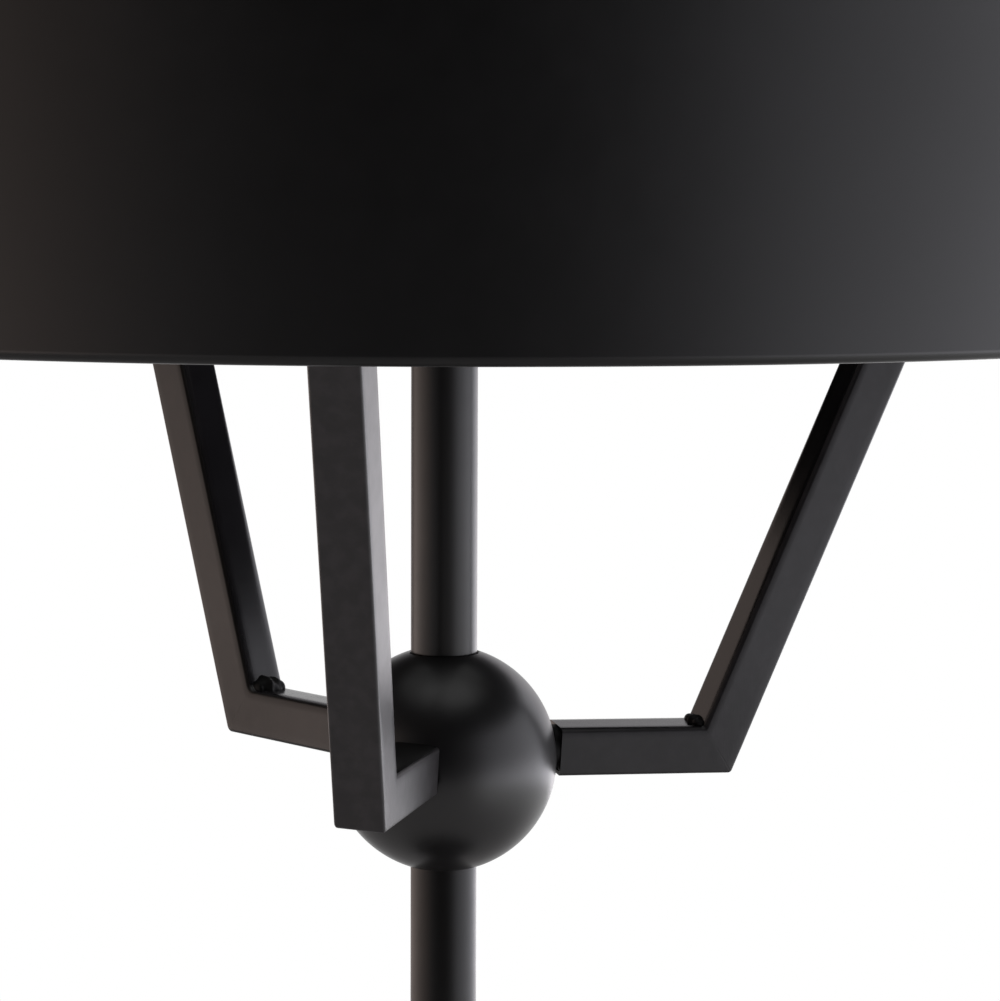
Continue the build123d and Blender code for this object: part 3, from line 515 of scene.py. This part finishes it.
# Arms
# Each is 14 mm square steel tube cut to a mitre, welded and ground by hand, so the outer corner
# is softened and the inside corner keeps a fillet of weld. A nipple screws it to the ball.
bar = 14 * MM
bar_wall = 1.2 * MM
bar_edge_r = 1.0 * MM
ground_width = 2.9 * MM
ground_depth = 1.3 * MM
arm_start = spot_face + 1.6 * MM
corner_reach = 86 * MM
arm_slants = {"front": 20.4, "right": 21.8, "left": 20.4}
top_z = ball_z + 150 * MM


def corner_inset(slant):
    """How much nearer to the ball than the outer corner of a mitred bar its inner corner is."""
    return bar * (1 - sin(slant)) / cos(slant)


def arm_run(side):
    """The arm's way out, its slant, its riser's direction and how far out the middle of the mitre is."""
    out = outward(arm_azimuths[side])
    slant = radians(arm_slants[side])
    riser = out * sin(slant) + UP * cos(slant)
    return out, slant, riser, corner_reach - corner_inset(slant) / 2


def square_section(width, edge, upper_edge, roll, steps=6):
    """Points round a square bar's section. Each edge is (width, depth) of its rounding."""
    half = width / 2
    corners = []
    for quarter in range(4):
        wide, deep = upper_edge if quarter in (0, 1) else edge
        sign_x = 1 if quarter in (0, 3) else -1
        sign_y = 1 if quarter in (0, 1) else -1
        for i in range(steps + 1):
            angle = radians(90) * (quarter + i / steps)
            x = sign_x * (half - wide) + wide * cos(angle)
            y = sign_y * (half - deep) + deep * sin(angle)
            corners.append(Vector((x, y)))
    outline = []
    for i, point in enumerate(corners):
        outline.append(point)
        if i % (steps + 1) == steps:
            after = corners[(i + 1) % len(corners)]
            outline += [point.lerp(after, k / 6) for k in range(1, 6)]
    turn = Matrix.Rotation(radians(roll), 2)
    return [turn @ point for point in outline]


def bridge(bm, rings):
    """Joins each closed ring of points to the next one with a band of faces."""
    for low, high in zip(rings, rings[1:]):
        count = len(low)
        for i in range(count):
            j = (i + 1) % count
            bm.faces.new((low[i], low[j], high[j], high[i]))


def mitred_bar(bm, side, section, outer_fillet, inner_fillet, wobble, seed):
    """Runs a section from the ball out to the corner and up the slant, each line rounding the corner."""
    out, slant, riser, mitre_reach = arm_run(side)
    across = UP.cross(out)
    unleaned = lean.inverted() @ arm_stances[side]
    normal = (out + riser).normalized()
    centre = out * mitre_reach + UP * arm_z
    foot_steps, corner_steps, riser_steps = 14, 10, 40
    lines = []
    for aside, above in section:
        start = out * arm_start + across * aside + UP * (arm_z + above)
        corner = start + out * ((centre - start).dot(normal) / out.dot(normal))
        end = corner + riser * ((top_z - (unleaned @ corner).z) / (unleaned.to_3x3() @ riser).z)
        inner_share = 0.5 + above / bar
        radius = outer_fillet * (1 - inner_share) + inner_fillet * inner_share
        reach = radius * tan((pi / 2 - slant) / 2)
        fillet_start = corner - out * reach
        fillet_end = corner + riser * reach
        fillet_centre = fillet_start + (riser - out * riser.dot(out)).normalized() * radius
        line = [start.lerp(fillet_start, i / foot_steps) for i in range(foot_steps)]
        for i in range(corner_steps + 1):
            turn = (pi / 2 - slant) * i / corner_steps
            line.append(fillet_centre + out * (radius * sin(turn)) - UP * (radius * cos(turn)))
        line += [fillet_end.lerp(end, (i + 1) / riser_steps) for i in range(riser_steps)]
        lines.append(line)
    last = len(lines[0]) - 1
    rings = []
    for station in range(last + 1):
        ring = []
        for line in lines:
            spot = line[station]
            near_corner = exp(-((spot - centre).length / (11 * MM)) ** 2)
            push = noise.noise_vector(spot * 160 + Vector((seed, 0, 0))) * wobble * (0.25 + 2.2 * near_corner)
            if station in (0, last):
                push = Vector((0, 0, 0))
            ring.append(bm.verts.new(spot + push))
        rings.append(ring)
    bridge(bm, rings)
    return rings


def welded_arm(side, coat, roll, outer_fillet, inner_fillet, seed):
    """One arm: the outer skin, the bore and the two cut ends."""
    made = bmesh.new()
    upper_edge = (ground_width, ground_depth)
    outer = square_section(bar, (bar_edge_r, bar_edge_r), upper_edge, roll)
    inner = square_section(bar - 2 * bar_wall, (bar_edge_r / 2, bar_edge_r / 2), upper_edge, roll)
    skin = mitred_bar(made, side, outer, outer_fillet, inner_fillet, 0.03 * MM, seed)
    bore = mitred_bar(made, side, inner, outer_fillet, inner_fillet, 0.0, seed)
    for end in (0, -1):
        bridge(made, [skin[end], bore[end]])
    finished_mesh(f"arm_{side}_welded", made, coat.material, STAND, f"arm_foot_{side}", f"arm_riser_{side}",
                  crease=28, place=arm_stances[side])


def arm_black(side, tint, face_tint_painted_light, scratch):
    """The arm's coat. Its tint and the tint of its ground faces are painted light. The ground faces are also
    duller, and the mitre shows as a fine line.
    """
    coat = Finish(f"satin_black_arm_{side}", Specular_IOR_Level=0.58)
    out, slant, riser, mitre_reach = arm_run(side)
    centre = arm_stances[side] @ (out * mitre_reach + UP * arm_z)
    turn = arm_stances[side].to_3x3()
    flank = abs(coat.away_from_plane(centre, turn @ UP.cross(out)))
    back = coat.away_from_plane(centre, turn @ (out * cos(slant) - UP * sin(slant)))
    below = coat.away_from_plane(centre, turn @ -UP)
    ground_and_painted_light_faces = flank.math("MAXIMUM", back.math("MAXIMUM", below)).band(5.6 * MM, 6.8 * MM)
    # Painted light: the arm's own tint and the tint of its ground faces stand in for the light and shade that
    # fall on them.
    coat.vary("Base Color", coat.mix(ground_and_painted_light_faces, cloudy(coat, tint), cloudy(coat, face_tint_painted_light, 230.0)))
    uneven = (coat.speckle(240.0) - 0.5) * (0.6 * MM)
    seam = abs(coat.away_from_plane(centre, turn @ (out + riser).normalized()) + uneven)
    mitre_line = (1 - seam.band(0.08 * MM, 0.3 * MM)) * coat.speckle(90.0).band(0.35, 0.6)
    points = {0: coat.place(), 1: centre}
    to_corner = coat.node("ShaderNodeVectorMath", {"operation": "DISTANCE"}, points, output=1)
    stretched = coat.node("ShaderNodeMapping", {}, {"Vector": coat.place(), "Scale": (4.5, 4.5, 0.55)})
    strokes = coat.speckle(420.0, 4.0, stretched) * (1 - to_corner.band(10 * MM, 34 * MM)) * ground_and_painted_light_faces
    coat.bump(orange_peel(coat) + strokes * scratch - mitre_line * 1.6, 0.014 * MM)
    coat.vary("Roughness", coat.speckle(160.0, 5.0) * 0.07 + 0.17 + strokes * 0.12 + ground_and_painted_light_faces * 0.14)
    return coat


# A fixed seed, because the noise that roughens the arms starts from the clock without one
noise.seed_set(1)
# The tints are painted light. The left arm is painted paler all over, with warmer ground faces. The ground
# faces of the front and right arms are painted much paler than the rest of those arms.
welded_arm("front", arm_black("front", (1.0, 1.0, 1.0), (9.4, 8.9, 9.1), scratch=2.4),
           roll=0, outer_fillet=1.4 * MM, inner_fillet=1.2 * MM, seed=3.1)
welded_arm("right", arm_black("right", (1.0, 1.0, 1.1), (4.4, 4.1, 4.5), scratch=1.0),
           roll=3.5, outer_fillet=1.3 * MM, inner_fillet=1.2 * MM, seed=7.7)
welded_arm("left", arm_black("left", (4.2, 4.0, 4.4), (2.9, 2.2, 1.7), scratch=1.0),
           roll=0, outer_fillet=2.0 * MM, inner_fillet=3.6 * MM, seed=12.9)


# Corner welds
# The beads that are left in the inside corners after grinding. They are steel like the bars, low
# and lumpy, and coated over with them.
weld_black = satin_black("satin_black_weld", gloss=0.55, specular=0.3)
weld_black.bump(weld_black.speckle(700.0, 3.0), 0.06 * MM)
bead_steps, bead_sides = 48, 24
bm = bmesh.new()
for side, bead_r, seed in (("front", 1.5 * MM, 2.0), ("right", 2.1 * MM, 9.0), ("left", 3.9 * MM, 14.0)):
    out, slant, riser, mitre_reach = arm_run(side)
    across = UP.cross(out)
    crook = out * (mitre_reach - corner_inset(slant) / 2) + UP * (arm_z + bar / 2)
    crook += (riser - out).normalized() * (0.1 * MM)
    rings = []
    for i in range(bead_steps + 1):
        part = 2 * i / bead_steps - 1
        along = part * (bar - ground_width) / 2
        pooled = 0.85 + 0.3 * noise.noise(Vector((seed, along * 420, 0)))
        swell = bead_r * (sqrt(max(0.0, 1 - abs(part) ** 3)) * pooled + 0.02)
        ring = []
        for k in range(bead_sides):
            angle = 2 * pi * k / bead_sides
            lump = noise.noise(Vector((1.2 * cos(angle), 1.2 * sin(angle) + seed, along * 520)))
            aside = out * (1.25 * cos(angle)) + UP * sin(angle)
            spot = crook + across * along + aside * (swell * (1 + 0.22 * lump))
            ring.append(bm.verts.new(arm_stances[side] @ spot))
        rings.append(ring)
    bridge(bm, rings)
    bm.faces.new(rings[0])
    bm.faces.new(rings[-1])
finished_mesh("corner_weld_beads", bm, weld_black.material, STAND, "corner_welds", crease=80)


# Arm seats
# Round steel plates, turned and tapped for the holder nipples, and welded on the arm tops. The
# solids have one slant for all the arms, and the seats keep its reach.
seat_r = 14 * MM
seat_top = top_z + 4 * MM
usual_slant = radians(20.8)
holder_reach = corner_reach - corner_inset(usual_slant) / 2 + (top_z - arm_z) * tan(usual_slant)
holder_spots = {side: outward(azimuth) * holder_reach for side, azimuth in arm_azimuths.items()}
seat_outline = soften([(rod_hole_r, top_z), (seat_r, top_z), (seat_r, seat_top), (rod_hole_r, seat_top)],
                      [0.4 * MM, 1.0 * MM], steps=5)
bm = bmesh.new()
for spot in holder_spots.values():
    turn_profile(bm, seat_outline, spot, segments=96)
finished_mesh("arm_seats_turned", bm, base_black.material, STAND, "arm_seats", place=lean)


# Lamp holders
# A turned cup and a drawn shell with a rolled mouth, black outside. Inside are a moulded block,
# a rolled brass screw shell and a sprung brass contact.
brass = grained("holder_brass", (0.55, 0.36, 0.14), (0.78, 0.56, 0.25), tone=(300, 4),
                gloss=(0.22, 0.14, 900, 3), grain=(2600, 3, 0.015 * MM), Metallic=1.0)
sheath = grained("lead_sheath", (0.02, 0.02, 0.02), (0.035, 0.034, 0.033), tone=(600, 3),
                 gloss=(0.45, 0.1, 1500, 3))
holder_black = satin_black("satin_black_holder", gloss=0.3)
cup_r = 17.5 * MM
cup_foot_r = 11 * MM
cup_round = 11 * MM
cup_top = seat_top + 16 * MM
holder_wall = 0.9 * MM
nipple_boss_r = 8 * MM
nipple_boss_top = seat_top + 8 * MM
cup_outer = [(rod_hole_r, seat_top)]
for i in range(11):
    angle = radians(90) * i / 10
    r = cup_foot_r + (cup_r - cup_foot_r) * sin(angle)
    cup_outer.append((r, seat_top + cup_round * (1 - cos(angle))))
cup_outer.append((cup_r, cup_top))
cup_inner = [(cup_r - holder_wall, cup_top)]
cup_inner += [(r - holder_wall, z + holder_wall) for r, z in reversed(cup_outer[2:-1])]
cup_inner += [(nipple_boss_r, seat_top + holder_wall), (nipple_boss_r, nipple_boss_top),
              (rod_hole_r, nipple_boss_top)]
shell_r = cup_r - holder_wall - 0.1 * MM
shell_low = seat_top + 10 * MM
mouth = seat_top + 58 * MM
mouth_roll = 0.95 * MM
mouth_height = 2 * MM
shell = [(shell_r - holder_wall, shell_low), (shell_r, shell_low)]
for i in range(11):
    bulge = mouth_roll * max(0.0, sin(pi * i / 10))
    shell.append((shell_r + bulge, mouth - mouth_height + mouth_height * i / 10))
shell += [(shell_r - holder_wall, mouth), (shell_r - holder_wall, mouth - mouth_height)]
sleeve_r = 14.15 * MM
sleeve_low = seat_top + 34 * MM
sleeve_height = 22 * MM
sleeve_steps, sleeve_steps_a_turn = 88, 14
sleeve = []
for i in range(sleeve_steps + 1):
    wave = 0.25 * MM * sin(2 * pi * i / sleeve_steps_a_turn)
    sleeve.append((sleeve_r + wave, sleeve_low + sleeve_height * i / sleeve_steps))
sleeve += [(r - 0.3 * MM, z) for r, z in reversed(sleeve)]
holder_pieces = (
    ("holder_caps", "turned", cup_outer + cup_inner, 96, holder_black),
    ("holder_shells", "drawn", shell, 96, holder_black),
    ("screw_shells", "rolled", sleeve, 72, brass),
)
for node, way, outline, segments, finish in holder_pieces:
    bm = bmesh.new()
    for spot in holder_spots.values():
        turn_profile(bm, outline, spot, segments=segments)
    finished_mesh(f"{node}_{way}", bm, finish.material, STAND, node, place=lean)
coat_cad(phenolic.material, "holder_insulators")
coat_cad(brass.material, "centre_contacts")
coat_cad(sheath.material, "arm_leads")


# Switch keys
# Moulded phenolic paddles pressed on brass spindles, one at the inner side of each holder. The
# grip is ribbed on both flats for the fingers.
key_gloss = grained("key_phenolic", (0.009, 0.009, 0.009), (0.016, 0.015, 0.015), tone=(300, 3),
                    gloss=(0.16, 0.1, 800, 4), IOR=1.55)
spindle_r = 1.8 * MM
key_hub_r = 4.2 * MM
key_hub_length = 5 * MM
paddle_width, paddle_thickness, paddle_length = 15 * MM, 4.4 * MM, 8 * MM
rib_height = 0.16 * MM
key_z = seat_top + 24 * MM
hub_face = holder_reach - cup_r - 0.35 * MM
paddle_steps, paddle_sides = 24, 40


def squared(value):
    """Pulls the sine or cosine of a round section towards a square one."""
    return abs(value) ** 0.55 * (1 if value > 0 else -1)


key_hub = soften([(spindle_r, 0), (key_hub_r, 0), (key_hub_r, key_hub_length), (spindle_r, key_hub_length)],
                 [0.5 * MM, 0.4 * MM], steps=4)
for side, azimuth in arm_azimuths.items():
    out = outward(azimuth)
    across = UP.cross(out)
    bm = bmesh.new()
    turn_profile(bm, key_hub, segments=48)
    swing = Matrix((across, UP, -out)).transposed().to_4x4()
    bmesh.ops.transform(bm, verts=bm.verts, matrix=Matrix.Translation(out * hub_face + UP * key_z) @ swing)
    rings = []
    for i in range(paddle_steps + 1):
        part = i / paddle_steps
        squeeze = 1 - 0.28 * max(0.0, part - 0.75) ** 2 * 16
        rib = rib_height * sin(part * 7 * 2 * pi) if 0.12 < part < 0.86 else 0
        middle = out * (hub_face - key_hub_length - paddle_length * part) + UP * key_z
        ring = []
        for k in range(paddle_sides):
            angle = 2 * pi * k / paddle_sides
            aside = across * (paddle_width / 2 * squared(cos(angle)) * squeeze)
            rise = UP * ((paddle_thickness / 2 - 0.2 * MM + rib) * squared(sin(angle)) * squeeze)
            ring.append(bm.verts.new(middle + aside + rise))
        rings.append(ring)
    bridge(bm, rings)
    bm.faces.new(rings[0])
    bm.faces.new(rings[-1])
    finished_mesh(f"switch_key_{side}_ribbed", bm, key_gloss.material, f"key_{side}", f"switch_key_{side}",
                  place=lean)
    coat_cad(brass.material, f"switch_spindle_{side}")


# Bulbs
# Blown opal glass envelopes cemented into rolled aluminium screw caps with a soldered tip. Each
# screws down into its holder.
opal = grained("opal_glass", (0.86, 0.86, 0.83), (0.92, 0.92, 0.9), tone=(30, 3),
               gloss=(0.18, 0.06, 120, 3), IOR=1.5, Transmission_Weight=0.35)
cap_metal = grained("bulb_cap_aluminium", (0.7, 0.7, 0.71), (0.84, 0.84, 0.84), tone=(500, 3),
                    gloss=(0.2, 0.12, 1200, 3), Metallic=1.0)
cap_low = seat_top + 37.4 * MM
cap_high = cap_low + 27 * MM
cap_r = 13.5 * MM
tip_r = 4 * MM
tip_height = 1.6 * MM
cap_thread_r = cap_r - 0.45 * MM
cap_thread_depth = 0.4 * MM
cap_thread_height = 18 * MM
cap_steps, cap_steps_a_turn = 80, 16
cap_outline = soften(
    [
        (0, cap_low),
        (tip_r, cap_low),
        (tip_r, cap_low + tip_height),
        (9.4 * MM, cap_low + tip_height),
        (12.7 * MM, cap_low + 5 * MM),
    ],
    [0.8 * MM, 0.2 * MM, 0.6 * MM],
)
for i in range(cap_steps + 1):
    wave = cap_thread_depth * sin(2 * pi * i / cap_steps_a_turn)
    cap_outline.append((cap_thread_r + wave, cap_low + 5.4 * MM + cap_thread_height * i / cap_steps))
cap_outline += [(cap_r, cap_high - 3 * MM), (cap_r, cap_high), (0, cap_high)]

globe_r = 30 * MM
globe_z = cap_high + 78 * MM - globe_r
bulb_neck_r = cap_r - 0.1 * MM
shoulder_angle = radians(-32)
shoulder_r = globe_r * cos(shoulder_angle)
shoulder_z = globe_z + globe_r * sin(shoulder_angle)
steepness = 26 * MM
neck_steps, globe_steps = 24, 48
glass_outline = []
for i in range(neck_steps + 1):
    part = i / neck_steps
    low_share, low_pull = 2 * part**3 - 3 * part**2 + 1, part**3 - 2 * part**2 + part
    high_share, high_pull = -2 * part**3 + 3 * part**2, part**3 - part**2
    r = low_share * bulb_neck_r + high_share * shoulder_r - high_pull * steepness * sin(shoulder_angle)
    z = low_share * cap_high + high_share * shoulder_z
    z += low_pull * steepness + high_pull * steepness * cos(shoulder_angle)
    glass_outline.append((r, z))
for i in range(1, globe_steps):
    angle = shoulder_angle + (pi / 2 - shoulder_angle) * i / globe_steps
    glass_outline.append((globe_r * cos(angle), globe_z + globe_r * sin(angle)))
glass_outline.append((0, globe_z + globe_r))

for side, spot in holder_spots.items():
    bm = bmesh.new()
    turn_profile(bm, cap_outline, spot, segments=72, closed=False)
    finished_mesh(f"bulb_cap_{side}_rolled", bm, cap_metal.material, f"bulb_{side}", f"bulb_cap_{side}",
                  place=lean)
    bm = bmesh.new()
    turn_profile(bm, glass_outline, spot, segments=96, closed=False)
    neck_ring = [vert for vert in bm.verts if abs(vert.co.z - cap_high) < 1e-6]
    bm.faces.new(sorted(neck_ring, key=lambda vert: atan2(vert.co.y - spot.y, vert.co.x - spot.x)))
    finished_mesh(f"bulb_glass_{side}_opal", bm, opal.material, f"bulb_{side}", f"bulb_glass_{side}",
                  place=lean)


# Shade
# A drum rolled from 1 mm steel sheet. Both edges are turned in over a small radius, and the
# whole is powder-coated satin black inside and out.
shade_low, shade_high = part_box("shade_drum")
shade_r = -shade_low.x
sheet = 1.0 * MM
lip_r = 2.4 * MM
turned_in_r = shade_r - 5 * MM
drum = soften(
    [
        (turned_in_r, shade_low.z),
        (shade_r, shade_low.z),
        (shade_r, shade_high.z),
        (turned_in_r, shade_high.z),
        (turned_in_r, shade_high.z - sheet),
        (shade_r - sheet, shade_high.z - sheet),
        (shade_r - sheet, shade_low.z + sheet),
        (turned_in_r, shade_low.z + sheet),
    ],
    [lip_r, lip_r, 0, 0, lip_r - sheet, lip_r - sheet],
    steps=14,
)
shade_black = satin_black("satin_black_shade", gloss=0.34)
bm = bmesh.new()
turn_profile(bm, drum, segments=360)
finished_mesh("shade_drum_rolled", bm, shade_black.material, "shade", "shade_drum")


# Spider, stem cap and nut
# Three flat steel spokes run from a turned hub to tabs that are spot-welded inside the drum. The
# hub sits on the nut that closes the stem.
coat_cad(shade_black.material, "spider_spokes", "spider_hub")
coat_cad(base_black.material, "stem_cap")
coat_cad(zinc.material, "top_nut")


# Finial
# A turned steel knob, a small echo of the ball, on a waisted foot. It screws down on the rod and
# holds the spider.
finial_low, finial_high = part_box("finial")
knob_r = 11 * MM
knob_z = finial_high.z - knob_r
waist_r = 7.5 * MM
knob_start = -atan2(sqrt(knob_r**2 - waist_r**2), waist_r)
knob_steps = 40
thread_end = finial_low.z + 14 * MM
knob_outline = soften(
    [
        (rod_hole_r, finial_low.z),
        (knob_r, finial_low.z),
        (knob_r, finial_low.z + 2 * MM),
        (waist_r, finial_low.z + 4 * MM),
        (waist_r, knob_z + knob_r * sin(knob_start)),
    ],
    [0.4 * MM, 0.6 * MM, 0.8 * MM],
    steps=5,
)
for i in range(1, knob_steps):
    angle = knob_start + (pi / 2 - knob_start) * i / knob_steps
    knob_outline.append((knob_r * cos(angle), knob_z + knob_r * sin(angle)))
knob_outline += [(0, finial_high.z), (0, thread_end), (rod_hole_r, thread_end)]
bm = bmesh.new()
turn_profile(bm, knob_outline, segments=96)
finished_mesh("finial_turned", bm, base_black.material, "finial", "finial")


# Studio floor
# A pale round floor under the lamp. Seen directly it pales to the white of the studio towards its
# rim, and so do its reflections on the side behind the lamp.
def looked_at(nodes):
    """1 for what is seen directly, mirrored or through glass, 0 for the light that falls on the lamp."""
    straight = nodes.node("ShaderNodeLightPath", {}, {}, output="Is Camera Ray")
    mirrored = nodes.node("ShaderNodeLightPath", {}, {}, output="Is Glossy Ray")
    through = nodes.node("ShaderNodeLightPath", {}, {}, output="Is Transmission Ray")
    return straight.math("MAXIMUM", mirrored.math("MAXIMUM", through))


floor_r = 1.25
bm = bmesh.new()
turn_profile(bm, [(0, 0), (0.3, 0), (0.6, 0), (0.9, 0), (floor_r, 0)], segments=128, closed=False)
floor_mesh = bpy.data.meshes.new("floor")
bm.to_mesh(floor_mesh)
bm.free()
floor = bpy.data.objects.new("floor", floor_mesh)
bpy.context.scene.collection.objects.link(floor)
pale = Finish("pale_floor", Roughness=0.8)
floor_mesh.materials.append(pale.material)
pale.vary("Base Color", pale.mix(pale.speckle(8.0), (0.8, 0.8, 0.79, 1), (0.84, 0.84, 0.835, 1)))
from_stem = pale.node("ShaderNodeVectorMath", {"operation": "LENGTH"}, {0: pale.place()}, output=1)
outwards = from_stem.band(0.2, 0.95)
behind = pale.away_from_plane((0, 0, 0), (0.707, 0.707, 0)).band(-0.15, 0.35)
direct = pale.node("ShaderNodeLightPath", {}, {}, output="Is Camera Ray")
fade = (direct * (outwards * 0.5 + 0.5)).math("MAXIMUM", outwards * looked_at(pale) * behind)
surface = Level(pale, pale.shader.outputs[0])
white = pale.node("ShaderNodeEmission", {}, {"Color": (1, 1, 1, 1), "Strength": 1.0})
blend = pale.node("ShaderNodeMixShader", {}, {0: fade, 1: surface, 2: white})
pale.feed(pale.tree.nodes["Material Output"].inputs["Surface"], blend)


# Camera
# A long lens a little above the shade's lower edge. It stands to the right of the front arm and
# is aimed down at the ball.
view_azimuth = radians(14.592)
image_width = 1000
focal_pixels = 2973.9
camera_distance = 0.845
camera_over_ball = 0.15795
yaw, pitch_down, tilt = radians(1.078), radians(5.638), radians(0.231)
aim = Vector((sin(yaw) * cos(pitch_down), cos(yaw) * cos(pitch_down), -sin(pitch_down)))
level_right = Vector((cos(yaw), -sin(yaw), 0))
level_over = level_right.cross(aim)
right = level_right * cos(tilt) + level_over * sin(tilt)
over = level_over * cos(tilt) - level_right * sin(tilt)
stance = Matrix((right, over, -aim)).transposed().to_4x4()
stance.translation = Vector((0, -camera_distance, ball_z + camera_over_ball))
lens = bpy.data.cameras.new("camera")
lens.sensor_fit = "HORIZONTAL"
lens.sensor_width = 36.0
lens.lens = focal_pixels / image_width * lens.sensor_width
lens.clip_start = 0.05
camera = bpy.data.objects.new("camera", lens)
camera.matrix_world = Matrix.Rotation(view_azimuth, 4, "Z") @ stance
bpy.context.scene.collection.objects.link(camera)
bpy.context.scene.camera = camera


# Studio light
# A white cove and one soft panel above. The walls are brightest at the right and the back right,
# weaker and warmer at the left, and dark on the camera's side.
panel_elevation = radians(75)
panel_angle = view_azimuth - pi / 2 + radians(20)
panel_distance = 1.9
panel_side = 1.4
panel = bpy.data.lights.new("panel_top", "AREA")
panel.shape = "RECTANGLE"
panel.size = panel_side
panel.size_y = panel_side
panel.energy = 1.7
from_ball = Vector((cos(panel_angle) * cos(panel_elevation), sin(panel_angle) * cos(panel_elevation),
                    sin(panel_elevation)))
panel_holder = bpy.data.objects.new("panel_top", panel)
panel_holder.location = Vector((0, 0, ball_z)) + from_ball * panel_distance
panel_holder.rotation_euler = from_ball.to_track_quat("Z", "Y").to_euler()
bpy.context.scene.collection.objects.link(panel_holder)

world = bpy.data.worlds.new("studio")
bpy.context.scene.world = world
world.use_nodes = True
room = Nodes(world.node_tree)
heading = room.node("ShaderNodeTexCoord", {}, {}, output="Generated")


def along(*direction):
    sockets = {0: heading, 1: direction}
    return room.node("ShaderNodeVectorMath", {"operation": "DOT_PRODUCT"}, sockets, output=1)


to_right = along(cos(view_azimuth), sin(view_azimuth), 0)
to_back = along(-sin(view_azimuth), cos(view_azimuth), 0)
upward = along(0, 0, 1)
brightest = 2.5
warm = (1.09, 0.9, 0.82)
even = (1.0, 0.965, 1.0)
cool = (0.97, 0.965, 1.03)
# Degrees to the right of the camera's side, brightness and colour of the wall there
walls = (
    (-180, 0.55, even),
    (-165, 0.4, even),
    (-150, 0.35, warm),
    (-115, 0.85, warm),
    (-90, 0.76, warm),
    (-60, 0.42, warm),
    (-40, 0.16, even),
    (-20, 0.03, even),
    (10, 0.03, even),
    (30, 0.17, even),
    (50, 0.8, cool),
    (70, 1.12, cool),
    (90, 1.45, cool),
    (130, 1.8, cool),
    (155, 1.65, even),
    (180, 0.55, even),
)
stops = []
for angle, level, colour in walls:
    stops.append((angle / 360 + 0.5, tuple(level * part / brightest for part in colour) + (1,)))
bearing = to_right.math("ARCTAN2", 0 - to_back) * (0.5 / pi) + 0.5
wall_colour = room.node("ShaderNodeValToRGB", {"stops": stops}, {"Fac": bearing})
lit_table = (0 - upward).band(0.13, 0.28) * 0.04
wall_colour = room.mix(lit_table, wall_colour, (1, 0.97, 1, 1))
ceiling = upward.band(0.42, 0.9)
ground = (0 - upward).band(0.5, 0.95)
toward_table = (0 - upward).band(-0.04, 0.3) * 1.4 + 0.72
wall_strength = toward_table * (1 - ceiling) * (1 - ground) * brightest
colours = room.mix(ceiling.math("MAXIMUM", ground), wall_colour, (0.2, 0.2, 0.2, 1))
strength = wall_strength + (ceiling * 0.26 + ground * 0.6) * 5.0
cove = room.node("ShaderNodeBackground", {}, {"Color": colours, "Strength": strength})
plain = room.node("ShaderNodeBackground", {}, {"Color": (1, 1, 1, 1), "Strength": 1.0})
backdrop = to_back.band(0.93, 0.985) * (1 - upward.band(0.08, 0.3))
camera_ray = room.node("ShaderNodeLightPath", {}, {}, output="Is Camera Ray")
seen = camera_ray.math("MAXIMUM", backdrop * looked_at(room))
sky = room.node("ShaderNodeMixShader", {}, {0: seen, 1: cove, 2: plain})
room.feed(room.tree.nodes["World Output"].inputs["Surface"], sky)
bpy.context.scene.view_settings.view_transform = "Standard"
